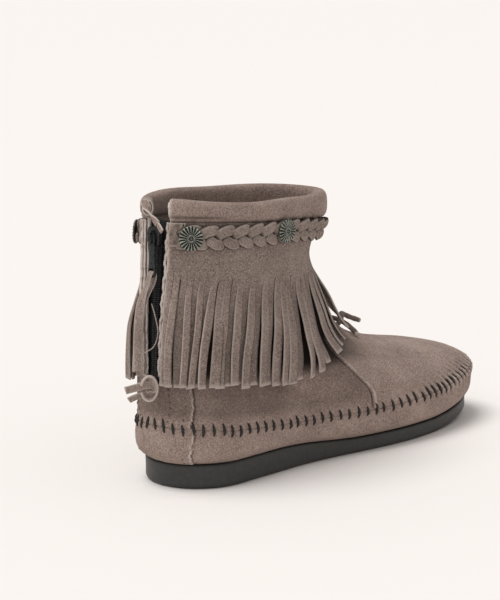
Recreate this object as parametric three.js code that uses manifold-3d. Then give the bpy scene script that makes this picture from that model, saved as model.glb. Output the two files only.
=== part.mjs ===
// Fringed moccasin boot for the right foot, in millimetres.
// Toe towards +X, inner side towards +Y, up +Z. The origin is under the heel, on the floor.
import * as THREE from 'three';
import { mergeVertices } from 'three/addons/utils/BufferGeometryUtils.js';
import Module from 'manifold-3d';

const wasm = await Module();
wasm.setup();
const { lerp, clamp, smoothstep } = THREE.MathUtils;

// Sole: outline from the back of the heel (x = 0) to the toe tip
const soleLength = 250;
const heelHalf = 30.5;
const ballOuter = 42;
const ballInner = 46;
const archInset = 3;
const toeTurn = 4;
const soleBlunt = 2.4;
const heelThickness = 13.3;
const foreThickness = 8.8;
const toeSpring = 6.4;
const springStart = 0.74;
const edgeRound = 2.6;

// Upper: wall, whipstitched seam round the foot, and the height of the shaft's top at the back
const leather = 2;
const gap = 0.35;
const slack = 0.15;
const weld = 0.002;
const seamBack = 35;
const seamFront = 34;
const seamSag = 9.5;
const bulge = 5.5;
const bulgeAtToe = 2;
const tuck = 2.2;
const shaftHeight = 145;
const weltHeight = 0.8;
const weltWidth = 2.2;

// Collar: a padded roll on the shaft's top edge
const collarBack = 10.5;
const collarFront = 15;
const collarDepth = 8;
const collarProud = 4;

// Fringe: a band round the shaft, slit into strips
const bandThickness = 1.5;
const stripWidth = 4.9;
const stripPitch = 5.35;
const stripLength = 60;
const stripLengthFront = 43;
const stripFlare = 3.2;
const innerLean = 0.5;

// Braid and its ornaments
const braidBase = 1.1;
const strandRise = 1.5;
const strandPitch = 10;
const patchLength = 7;
const conchoRadius = 6.5;
const conchoRise = 2.4;

// Zip down the back
const slotTop = 9.3;
const slotBottom = 5.4;
const slotFoot = 57;
const tapeThickness = 0.9;
const coilWidth = 4.6;
const coilRise = 1.6;
const sliderWidth = 9;
const sliderHeight = 11;
const sliderDepth = 3;
const sliderFromTop = 9;
const sliderAt = shaftHeight - sliderFromTop;
const crownHeight = 7;
const crownRise = 3.3;
const crownWall = 1;
const pullLength = 23;
const pullWidth = 5.4;
const pullThickness = 1.2;
const pinRadius = 0.65;
const strapWidth = 3.4;
const strapThickness = 1.3;
const knotAt = 59;
const knotRadius = 4.6;
const knotCord = 1.6;

// Lace over the instep, and the insole
const laceRadius = 1.5;
const eyeletRadius = 2.1;
const insoleThickness = 2.5;

// The foot stands on flat ground under this point of the heel.
const heelRest = 30;

const suede = { color: 0x857771, roughness: 0.95, metalness: 0 };
const rubber = { color: 0x3a3a38, roughness: 0.75, metalness: 0 };
const blackTape = { color: 0x1c1c1d, roughness: 0.9, metalness: 0 };
const darkMetal = { color: 0x4b5350, roughness: 0.45, metalness: 0.9 };

const boot = new THREE.Group();
boot.position.x = -heelRest;

// Solids: closed meshes as three.js geometry, and joins and cuts between them
function solidOf(geometry) {
  const plain = geometry.clone();
  plain.deleteAttribute('normal');
  plain.deleteAttribute('uv');
  const merged = mergeVertices(plain, 1e-4);
  return new wasm.Manifold(new wasm.Mesh({
    numProp: 3,
    vertProperties: new Float32Array(merged.attributes.position.array),
    triVerts: new Uint32Array(merged.index.array),
  }));
}

// Corners that a join or cut leaves closer than the weld are made one, and the faces between
// them, which have shrunk to nothing, are left out.
function geometryOf(solid) {
  const mesh = solid.getMesh();
  const loose = new THREE.BufferGeometry();
  loose.setAttribute('position', new THREE.BufferAttribute(new Float32Array(mesh.vertProperties), 3));
  loose.setIndex(Array.from(mesh.triVerts));
  const geometry = mergeVertices(loose, weld);
  const corners = Array.from(geometry.index.array);
  const faces = corners.flatMap((a, i) => {
    const [b, c] = [corners[i + 1], corners[i + 2]];
    return i % 3 === 0 && a !== b && b !== c && c !== a ? [a, b, c] : [];
  });
  geometry.setIndex(faces);
  return geometry;
}

function joined(geometries) {
  return geometryOf(geometries.map(solidOf).reduce((whole, piece) => whole.add(piece)));
}

function cut(geometry, cutters) {
  return geometryOf(cutters.map(solidOf).reduce((rest, cutter) => rest.subtract(cutter), solidOf(geometry)));
}

function addPart(name, geometry, finish) {
  const mesh = new THREE.Mesh(geometry, new THREE.MeshStandardMaterial(finish));
  mesh.name = name;
  boot.add(mesh);
  return mesh;
}

// A faceted body, with its faces turned outwards whichever way round its rings were given
function bodyOf(positions, index) {
  const [a, b, c] = [0, 1, 2].map(() => new THREE.Vector3());
  let volume = 0;
  for (let i = 0; i < index.length; i += 3) {
    a.fromArray(positions, index[i] * 3);
    b.fromArray(positions, index[i + 1] * 3);
    c.fromArray(positions, index[i + 2] * 3);
    volume += a.dot(b.cross(c));
  }
  const geometry = new THREE.BufferGeometry();
  geometry.setAttribute('position', new THREE.Float32BufferAttribute(positions, 3));
  geometry.setIndex(volume < 0 ? index.toReversed() : index);
  return geometry;
}

// A closed body from rings of points, as many in each, with both ends capped
function ringBody(rings) {
  const size = rings[0].length;
  const positions = rings.flat().flatMap((p) => [p.x, p.y, p.z]);
  const index = [];
  for (let i = 0; i < rings.length - 1; i += 1) {
    for (let j = 0; j < size; j += 1) {
      const [a, b] = [i * size + j, i * size + ((j + 1) % size)];
      index.push(a, b, b + size, a, b + size, a + size);
    }
  }
  const last = (rings.length - 1) * size;
  for (let j = 1; j < size - 1; j += 1) {
    index.push(0, j + 1, j, last, last + j, last + j + 1);
  }
  return bodyOf(positions, index);
}

// Heights along the sole, from the distance behind the toe
function soleBottom(x) {
  const share = clamp((x / soleLength - springStart) / (1 - springStart), 0, 1.1);
  return toeSpring * share ** 1.45;
}

function soleTop(x) {
  const heel = 1 - smoothstep(x / soleLength, 0.24, 0.52);
  return soleBottom(x) + foreThickness + (heelThickness - foreThickness) * heel;
}

function seamLine(s) {
  return lerp(seamBack, seamFront, s) - seamSag * Math.sin(Math.PI * s);
}

// One contour round the boot: a heel arc, straight flanks that swell to the ball, a toe arc
function roundEnd(t, power = 2) {
  return Math.max(0, 1 - t ** power) ** (1 / power);
}

function contourPoint(row, side, s) {
  const ball = side < 0 ? row.outer : row.inner;
  const heelArc = s < row.heelRound ? roundEnd(1 - s / row.heelRound) : 1;
  const toeArc = s > 1 - row.toeRound ? roundEnd((s - 1 + row.toeRound) / row.toeRound, row.blunt) : 1;
  const arch = side > 0 ? row.arch * Math.exp(-(((s - 0.42) / 0.14) ** 2)) : 0;
  const width = lerp(row.heel, ball, smoothstep(s, 0.3, 0.68)) - arch;
  const x = lerp(row.back, row.front, s);
  const y = side * width * heelArc * toeArc + toeTurn * Math.sign(x) * Math.abs(x / soleLength) ** 3;
  return new THREE.Vector3(x, y, row.height(s, x));
}

function grownSole(grow, height) {
  const out = grow * bulge;
  return {
    back: -out, front: soleLength + grow * bulgeAtToe, heel: heelHalf + out * 0.6,
    outer: ballOuter + out * 0.8, inner: ballInner + out * 0.8, arch: archInset,
    heelRound: lerp(heelHalf / soleLength, 0.16, clamp(grow, 0, 1)), toeRound: 0.34, blunt: soleBlunt,
    height,
  };
}

// Lower rows follow the sole: how far each is grown past it, and its height between the sole's
// top and the whipstitched seam
const wrapColumns = ['grow', 'lift'];
const wrapTable = [
  [-tuck / bulge, 0],
  [0.8, 0.24],
  [1.05, 0.62],
  [0.8, 1],
];

// Upper rows: places as shares of the sole's length, heights as shares of the shaft's height,
// half widths as shares of the heel's and the ball's, ends as shares of the row's own length
const upperColumns = ['back', 'backHeight', 'front', 'frontHeight', 'sag', 'heel', 'outer', 'inner',
  'heelRound', 'toeRound', 'blunt'];
const upperTable = [
  [-0.022, 0.303, 0.952, 0.292, 0.055, 1.00, 1.05, 1.03, 0.16, 0.36, 2.35],
  [-0.021, 0.359, 0.852, 0.338, 0.048, 0.97, 0.98, 0.95, 0.16, 0.40, 2.2],
  [-0.019, 0.414, 0.756, 0.370, 0.042, 0.95, 0.91, 0.87, 0.17, 0.44, 2.05],
  [-0.018, 0.476, 0.672, 0.401, 0.036, 0.93, 0.84, 0.79, 0.19, 0.48, 1.9],
  [-0.017, 0.538, 0.602, 0.437, 0.030, 0.91, 0.77, 0.72, 0.22, 0.52, 1.8],
  [-0.016, 0.600, 0.556, 0.486, 0.021, 0.90, 0.71, 0.66, 0.26, 0.56, 1.8],
  [-0.014, 0.663, 0.520, 0.552, 0.012, 0.89, 0.67, 0.62, 0.32, 0.58, 1.85],
  [-0.012, 0.724, 0.488, 0.634, 0.005, 0.88, 0.65, 0.60, 0.38, 0.58, 1.9],
  [-0.008, 0.786, 0.460, 0.714, 0, 0.88, 0.64, 0.58, 0.44, 0.55, 2],
  [-0.006, 0.848, 0.438, 0.786, 0, 0.88, 0.64, 0.58, 0.48, 0.52, 2.1],
  [-0.004, 0.903, 0.439, 0.842, 0, 0.89, 0.645, 0.59, 0.48, 0.50, 2.2],
  [-0.002, 0.952, 0.458, 0.890, 0, 0.90, 0.655, 0.60, 0.48, 0.50, 2.2],
  [0, 1, 0.480, 0.938, 0, 0.92, 0.67, 0.61, 0.48, 0.50, 2.2],
];

function named(columns, table) {
  return table.map((line) => Object.fromEntries(columns.map((name, i) => [name, line[i]])));
}

const rows = [
  ...named(wrapColumns, wrapTable).map((row) => grownSole(
    row.grow,
    (s, x) => lerp(soleTop(x) + gap, seamLine(s), row.lift),
  )),
  ...named(upperColumns, upperTable).map((row) => ({
    back: row.back * soleLength,
    front: row.front * soleLength,
    heel: row.heel * heelHalf,
    outer: row.outer * ballOuter,
    inner: row.inner * ballInner,
    arch: 0,
    heelRound: row.heelRound,
    toeRound: row.toeRound,
    blunt: row.blunt,
    height: (s) => shaftHeight * (lerp(row.backHeight, row.frontHeight, s) - row.sag * Math.sin(Math.PI * s)),
  })),
];
const seamRow = wrapTable.length - 1;
const topRow = rows.length - 1;

// Each contour measured once along its length, so that a share of the way round finds its point.
// The way round starts at the back, runs along the outer side to the toe at 0.5, and returns.
const measuredSteps = 90;
function measured(row, side) {
  const points = Array.from({ length: measuredSteps + 1 }, (_, i) => (
    contourPoint(row, side, (1 - Math.cos((Math.PI * i) / measuredSteps)) / 2)));
  const lengths = points.map((p, i) => (i ? p.distanceTo(points[i - 1]) : 0));
  let sum = 0;
  const reached = lengths.map((length) => { sum += length; return sum; });
  return { points, reached, total: sum };
}

const contours = rows.map((row) => ({ outer: measured(row, -1), inner: measured(row, 1) }));

function alongContour(contour, share) {
  const want = clamp(share, 0, 1) * contour.total;
  let low = 0;
  let high = measuredSteps;
  while (high - low > 1) {
    const middle = (low + high) >> 1;
    if (contour.reached[middle] > want) high = middle;
    else low = middle;
  }
  const t = (want - contour.reached[low]) / Math.max(1e-9, contour.reached[high] - contour.reached[low]);
  return new THREE.Vector3().lerpVectors(contour.points[low], contour.points[high], t);
}

function rowPoint(r, u) {
  const around = ((u % 1) + 1) % 1;
  const contour = contours[clamp(r, 0, topRow)];
  if (around <= 0.5) return alongContour(contour.outer, around * 2);
  return alongContour(contour.inner, 2 - around * 2);
}

// The leather's outer surface: u goes round the boot, v counts the rows upwards
function surface(u, v) {
  const r = Math.min(Math.floor(clamp(v, 0, topRow)), topRow - 1);
  const t = clamp(v, 0, topRow) - r;
  const [a, b, c, d] = [-1, 0, 1, 2].map((k) => rowPoint(r + k, u));
  const weights = [
    -0.5 * t ** 3 + t ** 2 - 0.5 * t,
    1.5 * t ** 3 - 2.5 * t ** 2 + 1,
    -1.5 * t ** 3 + 2 * t ** 2 + 0.5 * t,
    0.5 * t ** 3 - 0.5 * t ** 2,
  ];
  return a.multiplyScalar(weights[0]).addScaledVector(b, weights[1])
    .addScaledVector(c, weights[2]).addScaledVector(d, weights[3]);
}

function normalAt(u, v) {
  const du = 0.006;
  const dv = 0.1;
  const along = surface(u + du, v).sub(surface(u - du, v));
  const up = surface(u, Math.min(v + dv, topRow)).sub(surface(u, Math.max(v - dv, 0)));
  return along.cross(up).normalize();
}

function levelNormal(u, v) {
  const n = normalAt(u, v);
  return new THREE.Vector3(n.x, n.y, 0).normalize();
}

// A point off the leather's outer surface. The top edge is trimmed level, for the collar.
function skin(u, v, out) {
  return surface(u, v).addScaledVector(v < topRow ? normalAt(u, v) : levelNormal(u, v), out);
}

// Faces between the outer and inner edges of a wall's end, whatever the number of corners in each
function closeEnd(outerEdge, innerEdge, index, turned) {
  let [i, j] = [0, 0];
  const face = (a, b, c) => index.push(...(turned ? [a, c, b] : [a, b, c]));
  while (i < outerEdge.length - 1 || j < innerEdge.length - 1) {
    const outerNext = (i + 1) / (outerEdge.length - 1);
    const innerNext = (j + 1) / (innerEdge.length - 1);
    if (outerNext <= innerNext) {
      face(innerEdge[j], outerEdge[i], outerEdge[i + 1]);
      i += 1;
    } else {
      face(innerEdge[j], outerEdge[i], innerEdge[j + 1]);
      j += 1;
    }
  }
}

// A wall between two surfaces over a patch of the leather, closed round its edges
function wall(us, vs, outer, inner, loop = false, innerVs = vs) {
  const positions = [];
  const put = (point) => { positions.push(point.x, point.y, point.z); return positions.length / 3 - 1; };
  const outside = vs.map((v, j) => us.map((u, i) => put(outer(u, v, i, j))));
  const inside = innerVs.map((v) => us.map((u) => put(inner(u, v))));
  const index = [];
  const quad = (a, b, c, d) => index.push(a, b, c, a, c, d);
  const count = us.length;
  const spans = loop ? count : count - 1;
  const next = (i) => (i + 1) % count;
  for (let i = 0; i < spans; i += 1) {
    for (let j = 0; j < vs.length - 1; j += 1) {
      quad(outside[j][i], outside[j][next(i)], outside[j + 1][next(i)], outside[j + 1][i]);
    }
    for (let j = 0; j < innerVs.length - 1; j += 1) {
      quad(inside[j][next(i)], inside[j][i], inside[j + 1][i], inside[j + 1][next(i)]);
    }
    const [top, innerTop] = [vs.length - 1, innerVs.length - 1];
    quad(inside[0][i], inside[0][next(i)], outside[0][next(i)], outside[0][i]);
    quad(outside[top][i], outside[top][next(i)], inside[innerTop][next(i)], inside[innerTop][i]);
  }
  if (!loop) {
    closeEnd(outside.map((line) => line[0]), inside.map((line) => line[0]), index, false);
    closeEnd(outside.map((line) => line[count - 1]), inside.map((line) => line[count - 1]), index, true);
  }
  return bodyOf(positions, index);
}

function spread(from, to, count) {
  return Array.from({ length: count + 1 }, (_, i) => lerp(from, to, i / count));
}

// Columns round the boot, closer together over the heel, where the contour turns sharply
const heelColumns = spread(-0.06, 0.06, 10);
const footColumns = spread(0.06, 0.94, 38).slice(1, -1);
const aroundColumns = [...heelColumns, ...footColumns];
const openColumns = aroundColumns.map((u) => (u + 1) % 1).sort((a, b) => a - b);
const ridgeShare = 0.13;
const slitRow = 12.5;
const upperVs = [0, 1, 2, seamRow - ridgeShare, seamRow, seamRow + ridgeShare,
  ...spread(seamRow + 1, topRow, topRow - seamRow - 1), slitRow].sort((a, b) => a - b);
const innerVs = [0, 1, 3, 5, 7, 9, 11, 13, 15, topRow];

// A raised seam: a low ridge along a path over the leather, sunk a little into it
function raisedSeam(path, width, rise) {
  const rings = path.map(([u, v], i) => {
    const [au, av] = path[Math.max(i - 1, 0)];
    const [bu, bv] = path[Math.min(i + 1, path.length - 1)];
    const ahead = surface(bu, bv).sub(surface(au, av)).normalize();
    const out = normalAt(u, v);
    const across = new THREE.Vector3().crossVectors(out, ahead).normalize();
    const at = (a, b) => surface(u, v).addScaledVector(across, a).addScaledVector(out, b);
    const root = -leather / 2;
    return [at(-width / 2, root), at(width / 2, root), at(width / 3, rise), at(-width / 3, rise)];
  });
  return ringBody(rings);
}

// The quarters overlap the vamp along a curve down each side, and the heel strap has two edges
const quarterTable = [[0.43, 9.9], [0.39, 9.3], [0.352, 8.4], [0.326, 7.3], [0.302, 6.2], [0.288, 5.3],
  [0.274, 4.4], [0.266, 3.8], [0.26, 3.1]];
const strapTable = [[0.052, 7.2], [0.049, 5.6], [0.042, 4.4], [0.037, 3.4], [0.038, 2.8], [0.04, 1.8],
  [0.037, 0.6]];
const mirrored = (table) => table.map(([u, v]) => [1 - u, v]);
const panelSeams = [quarterTable, mirrored(quarterTable), strapTable, mirrored(strapTable)]
  .map((table) => raisedSeam(table, weltWidth, weltHeight * 0.75));

// The zip's opening in the back: wider towards the collar, and cut on past it
function slotHalf(z) {
  return lerp(slotBottom, slotTop, (z - slotFoot) / (shaftHeight - slotFoot));
}

function backSlot(margin) {
  const over = shaftHeight * 1.1;
  const shape = new THREE.Shape([
    new THREE.Vector2(-slotBottom + margin, slotFoot + margin),
    new THREE.Vector2(slotBottom - margin, slotFoot + margin),
    new THREE.Vector2(slotHalf(over) - margin, over),
    new THREE.Vector2(margin - slotHalf(over), over),
  ]);
  const depth = heelHalf * 1.6;
  const prism = new THREE.ExtrudeGeometry(shape, { depth, bevelEnabled: false });
  prism.applyMatrix4(new THREE.Matrix4().makeBasis(
    new THREE.Vector3(0, 1, 0),
    new THREE.Vector3(0, 0, 1),
    new THREE.Vector3(1, 0, 0),
  ));
  prism.translate(-heelHalf, 0, 0);
  return prism;
}

// The seam between the lower wrap and the upper stands up as a ridge right round the foot
const upperShell = wall(
  aroundColumns,
  upperVs,
  (u, v) => skin(u, v, v === seamRow ? weltHeight : 0),
  (u, v) => skin(u, v, -leather),
  true,
  innerVs,
);

// A round body along the surface's normal, from one distance off the leather to another
function pegAt(u, v, radius, from, to, sides) {
  const start = skin(u, v, from);
  const end = skin(u, v, to);
  const peg = new THREE.CylinderGeometry(radius, radius, start.distanceTo(end), sides);
  const turn = new THREE.Quaternion().setFromUnitVectors(new THREE.Vector3(0, 1, 0), normalAt(u, v));
  peg.applyQuaternion(turn);
  const middle = start.lerp(end, 0.5);
  return peg.translate(middle.x, middle.y, middle.z);
}

// Two eyelets for the lace, one on each side of the instep's ridge
const eyelets = [[0.484, 8.8], [0.516, 8.8]];
const eyeletHoles = eyelets.map(([u, v]) => pegAt(u, v, eyeletRadius, -leather * 2, leather * 2, 12));
addPart('upper', cut(joined([upperShell, ...panelSeams]), [backSlot(0), ...eyeletHoles]), suede);

// Sole: rings from the flat underside, round the lower edge, up the side
function soleRing(inset, height) {
  const shrink = (side, s) => {
    const row = { ...grownSole(0, () => 0), heel: heelHalf - inset, outer: ballOuter - inset,
      inner: ballInner - inset, back: inset, front: soleLength - inset };
    return contourPoint(row, side, s);
  };
  const steps = 26;
  const shares = Array.from({ length: steps + 1 }, (_, i) => (1 - Math.cos((Math.PI * i) / steps)) / 2);
  const outer = shares.map((s) => shrink(-1, s));
  const inner = shares.slice(1, -1).reverse().map((s) => shrink(1, s));
  return [...outer, ...inner].map((p) => new THREE.Vector3(p.x, p.y, height(p.x)));
}

// A body from level rings whose first and last are closed across, from one side to the other
function lidded(rings) {
  const size = rings[0].length;
  const half = size / 2;
  const positions = rings.flat().flatMap((p) => [p.x, p.y, p.z]);
  const index = [];
  for (let i = 0; i < rings.length - 1; i += 1) {
    for (let j = 0; j < size; j += 1) {
      const [a, b] = [i * size + j, i * size + ((j + 1) % size)];
      index.push(a, b, b + size, a, b + size, a + size);
    }
  }
  const last = (rings.length - 1) * size;
  for (let j = 0; j < half; j += 1) {
    const [a, b] = [j, j + 1];
    const [c, d] = [(size - j) % size, (size - j - 1) % size];
    if (a !== c) index.push(a, c, b, last + a, last + b, last + c);
    if (b !== d) index.push(b, c, d, last + b, last + d, last + c);
  }
  return bodyOf(positions, index);
}

addPart('outsole', lidded([
  soleRing(edgeRound, soleBottom),
  soleRing(edgeRound * 0.3, (x) => soleBottom(x) + edgeRound * 0.3),
  soleRing(0, (x) => soleBottom(x) + edgeRound),
  soleRing(0, (x) => soleTop(x) - 1),
  soleRing(0.7, soleTop),
]), rubber);

const insoleInset = tuck + leather + 2;
addPart('insole', lidded([
  soleRing(insoleInset, (x) => soleTop(x) + gap),
  soleRing(insoleInset, (x) => soleTop(x) + gap + insoleThickness),
]), suede);

// The shaft's contour at the slits, and how far round it the zip's edges are
const bandTop = 15.9;
const bandOut = gap + slack * 2;
const edgeShare = 0.034;
const contourLength = (v) => contours[Math.round(v)].outer.total + contours[Math.round(v)].inner.total;
const shaftLength = contourLength(slitRow);

// Collar: a roll carried along the shaft's top edge, from one side of the zip to the other
const rollSides = 8;
function collarRing(u) {
  const base = surface(u, topRow);
  const out = levelNormal(u, topRow);
  const height = lerp(collarBack, collarFront, Math.sin(Math.PI * u) ** 2);
  return Array.from({ length: rollSides }, (_, k) => {
    const angle = (2 * Math.PI * (k + 0.5)) / rollSides;
    const full = (value) => Math.sign(value) * Math.abs(value) ** 0.75;
    const across = collarProud - collarDepth / 2 + (collarDepth / 2) * full(Math.cos(angle));
    const up = gap + (height / 2) * (1 + full(Math.sin(angle)));
    return base.clone().addScaledVector(out, across).add(new THREE.Vector3(0, 0, up));
  });
}
const collarColumns = openColumns.filter((u) => u > edgeShare && u < 1 - edgeShare);
addPart('collar_roll', ringBody([edgeShare, ...collarColumns, 1 - edgeShare].map(collarRing)), suede);

// Fringe: where a level cut through the leather at a height crosses a line from the shaft
const cutSteps = 96;
function levelCut(z) {
  return Array.from({ length: cutSteps }, (_, j) => {
    const u = j / cutSteps;
    let [low, high] = [0, topRow];
    for (let k = 0; k < 16; k += 1) {
      const middle = (low + high) / 2;
      if (surface(u, middle).z < z) low = middle;
      else high = middle;
    }
    return surface(u, low);
  });
}

function reach(outline, start, direction) {
  let far = 0;
  outline.forEach((a, j) => {
    const b = outline[(j + 1) % outline.length];
    const [ex, ey] = [b.x - a.x, b.y - a.y];
    const cross = direction.x * ey - direction.y * ex;
    if (Math.abs(cross) < 1e-9) return;
    const t = ((a.x - start.x) * ey - (a.y - start.y) * ex) / cross;
    const k = ((a.x - start.x) * direction.y - (a.y - start.y) * direction.x) / cross;
    if (k >= 0 && k <= 1 && t > far) far = t;
  });
  return far;
}

// A strip falls from the slits' row: straight down, or out along the leather where it slopes
const fallStep = 2;
const slitTop = shaftHeight * 0.83;
const levels = Array.from({ length: 36 }, (_, i) => levelCut(slitTop - i * fallStep));
// How far the tips drift towards the heel, by the share of the way round from the back to the toe
const leanTable = [[0, -4], [0.1, -8], [0.15, -13], [0.2, -14], [0.24, -7], [0.29, 0], [0.5, 0]];
function leanAt(side) {
  const next = Math.max(1, leanTable.findIndex(([share]) => share >= side));
  const [[fromShare, from], [toShare, to]] = [leanTable[next - 1], leanTable[next]];
  return lerp(from, to, (side - fromShare) / (toShare - fromShare));
}
function fallOf(u, k) {
  const start = surface(u, slitRow + 0.3);
  const out = levelNormal(u, slitRow);
  const side = Math.min(u, 1 - u);
  const lean = leanAt(side) * (u < 0.5 ? 1 : innerLean);
  const wanted = lerp(stripLength, stripLengthFront, smoothstep(side, 0.43, 0.49));
  const path = [start];
  let [length, far] = [0, 0];
  levels.forEach((outline, i) => {
    const z = slitTop - i * fallStep;
    if (z > start.z - fallStep / 2 || length > wanted) return;
    const share = clamp((start.z - z) / stripLength, 0, 1);
    const from = start.clone().add(new THREE.Vector3(lean * share ** 1.3, 0, 0));
    far = Math.max(far, reach(outline, from, out));
    const point = from.addScaledVector(out, far).setZ(z);
    length += point.distanceTo(path[path.length - 1]);
    path.push(point);
  });
  const curve = new THREE.CatmullRomCurve3(path);
  const across = new THREE.Vector3(-out.y, out.x, 0);
  const wave = 0.6 * Math.sin(k * 2.4);
  const shares = side < 0.3 ? [0, 0.45, 1] : [0, 0.3, 0.65, 1];
  const rings = shares.map((share) => {
    const at = curve.getPointAt(share);
    const ahead = curve.getTangentAt(share);
    const away = new THREE.Vector3().crossVectors(across, ahead).normalize();
    if (away.dot(out) < 0) away.negate();
    const stand = bandOut + slack + (stripFlare + wave) * share + 0.8 * Math.sin(Math.PI * share);
    const corner = (a, b) => at.clone().addScaledVector(across, a).addScaledVector(away, b);
    const [half, full] = [stripWidth / 2, stand + bandThickness - slack * 2];
    return [corner(-half, stand), corner(half, stand), corner(half, full), corner(-half, full)];
  });
  return ringBody(rings);
}

const bandColumns = openColumns.filter((u) => u > edgeShare * 0.6 && u < 1 - edgeShare * 0.6);
const band = wall(
  bandColumns,
  [slitRow, 13, 14, 15, bandTop],
  (u, v) => skin(u, v, bandOut + bandThickness),
  (u, v) => skin(u, v, bandOut),
);
const firstStrip = edgeShare + stripWidth / shaftLength;
const stripCount = Math.floor((shaftLength * (1 - 2 * firstStrip)) / stripPitch);
const stripShares = spread(firstStrip, 1 - firstStrip, stripCount);
const strips = stripShares.map(fallOf);
addPart('fringe', joined([cut(band, [backSlot(-gap)]), ...strips]), suede);

// Braid round the band: crossing strands show as two rows of lobes, half a pitch apart
const overBand = bandOut + bandThickness + gap + slack;
const patchShare = patchLength / shaftLength;
const braidShare = edgeShare + patchShare + gap / shaftLength;
const braidRows = spread(14.15, 15.85, 4);
const lobes = Math.round((shaftLength * (1 - 2 * braidShare)) / strandPitch);
const braidColumns = spread(braidShare, 1 - braidShare, lobes * 3);
function strandPoint(u, v, i, j) {
  const turn = (Math.PI * i) / 3;
  const [low, high] = [Math.abs(Math.sin(turn)), Math.abs(Math.cos(turn))];
  const full = [low * 0.3, low, (low + high) / 2, high, high * 0.3][j];
  const spreadOut = [low - 1, 0, 0, 0, 1 - high][j];
  return skin(u, v + spreadOut * 0.12, overBand + braidBase + strandRise * full);
}
addPart('braid', wall(
  braidColumns,
  braidRows,
  strandPoint,
  (u, v) => skin(u, v, overBand),
  false,
  [braidRows[0], braidRows[4]],
), suede);

// A stitched patch of the same leather ends the braid on each side of the zip
[['braid_end_outer', edgeShare], ['braid_end_inner', 1 - edgeShare - patchShare]].forEach(([name, from]) => {
  addPart(name, wall(
    spread(from, from + patchShare, 2),
    [braidRows[0], braidRows[2], braidRows[4]],
    (u, v) => skin(u, v, overBand + braidBase),
    (u, v) => skin(u, v, overBand),
  ), suede);
});

// Round ornaments on the braid: a dished disc with a rim and a boss
const conchoProfile = [[0, 0], [1, 0], [1, 0.3], [0.86, 0.55], [0.4, 0.45], [0.3, 1], [0, 1]];
const conchoShares = [0.071, 0.274, 0.5, 0.726, 0.929];
conchoShares.forEach((u, i) => {
  const points = conchoProfile.map(([r, h]) => new THREE.Vector2(r * conchoRadius, h * conchoRise));
  const disc = new THREE.LatheGeometry(points, 16);
  const row = braidRows[2];
  const face = normalAt(u, row);
  disc.applyQuaternion(new THREE.Quaternion().setFromUnitVectors(new THREE.Vector3(0, 1, 0), face));
  const at = skin(u, row, overBand + braidBase + strandRise + gap);
  disc.translate(at.x, at.y, at.z);
  addPart(`concho_${i + 1}`, disc, darkMetal);
});

// Zip: the tape lies inside the leather and runs flat across the slot, and the coil stands on it
const tapeOut = -leather - gap - slack;
const tapeColumns = heelColumns.filter((u) => Math.abs(u) < 0.05);
function tapeFace(v) {
  const edge = slotHalf(surface(0, v).z) + 1;
  return skin(edge / contourLength(v), v, tapeOut).x;
}
function tapePoint(u, v, depth) {
  const point = skin(u, v, tapeOut - depth);
  return point.setX(Math.max(point.x, tapeFace(v) + depth));
}
addPart('zip_tape', wall(
  tapeColumns,
  [5, 7, 9, 11, 13, 15, 15.9],
  (u, v) => tapePoint(u, v, 0),
  (u, v) => tapePoint(u, v, tapeThickness),
), blackTape);

addPart('zip_coil', ringBody([5.9, 7, 9, 11, 13, 15, 15.5].map((v) => {
  const height = surface(0, v).z;
  const corner = (y, out) => new THREE.Vector3(tapeFace(v) - gap - out, y, height);
  const half = coilWidth / 2;
  return [corner(-half, 0), corner(half, 0), corner(half * 0.7, coilRise), corner(-half * 0.7, coilRise)];
})), blackTape);

// Slider: a shield on the coil, with a crown that the pull tab's pin runs through
function plate(outline, holes, depth) {
  const shape = new THREE.Shape(outline.map(([y, z]) => new THREE.Vector2(y, z)));
  shape.holes = holes.map((hole) => new THREE.Path(hole.map(([y, z]) => new THREE.Vector2(y, z))));
  const slab = new THREE.ExtrudeGeometry(shape, { depth, bevelEnabled: false });
  return slab.applyMatrix4(new THREE.Matrix4().makeBasis(
    new THREE.Vector3(0, 1, 0),
    new THREE.Vector3(0, 0, 1),
    new THREE.Vector3(1, 0, 0),
  ));
}
const box = (y0, y1, z0, z1) => [[y0, z0], [y1, z0], [y1, z1], [y0, z1]];
const sliderBack = tapeFace(13.5) - gap - coilRise - gap;
const sliderFace = sliderBack - sliderDepth;
const halfSlider = sliderWidth / 2;
const halfTall = sliderHeight / 2;
const shield = plate([
  [-halfSlider * 0.7, -halfTall], [halfSlider * 0.7, -halfTall], [halfSlider, halfTall * 0.2],
  [halfSlider * 0.75, halfTall], [-halfSlider * 0.75, halfTall], [-halfSlider, halfTall * 0.2],
], [], sliderDepth).translate(sliderFace, 0, sliderAt);
const crown = new THREE.BoxGeometry(crownRise, crownWall * 2, crownHeight)
  .translate(sliderFace - crownRise / 2 + weld * 10, 0, sliderAt);
const crownHole = new THREE.BoxGeometry(crownRise - crownWall, crownWall * 4, crownHeight - crownWall * 2)
  .translate(sliderFace - (crownRise - crownWall) / 2, 0, sliderAt);
addPart('zip_slider', joined([shield, cut(crown, [crownHole])]), darkMetal);

// Pull tab: a plate that hangs from the pin, with a window round the crown and a hole for the strap
const pinX = sliderFace - (crownRise - crownWall) / 2;
const pinZ = sliderAt + crownHeight / 2 - crownWall - pinRadius - gap;
const windowHalf = crownWall + gap;
const windowFoot = sliderAt - crownHeight / 2 - gap - pinZ;
const strapHole = box(-strapWidth / 2 - gap, strapWidth / 2 + gap, 1.2 - pullLength, 4.6 - pullLength);
const halfPull = pullWidth / 2;
const tab = plate(
  box(-halfPull, halfPull, -pullLength, 0.3),
  [box(-windowHalf, windowHalf, windowFoot, -0.3), strapHole],
  pullThickness,
).translate(pinX - pullThickness / 2, 0, pinZ);
const pin = new THREE.CylinderGeometry(pinRadius, pinRadius, pullWidth - 0.4, 10).translate(pinX, 0, pinZ);
addPart('zip_pull', joined([tab, pin]), darkMetal);

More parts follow.
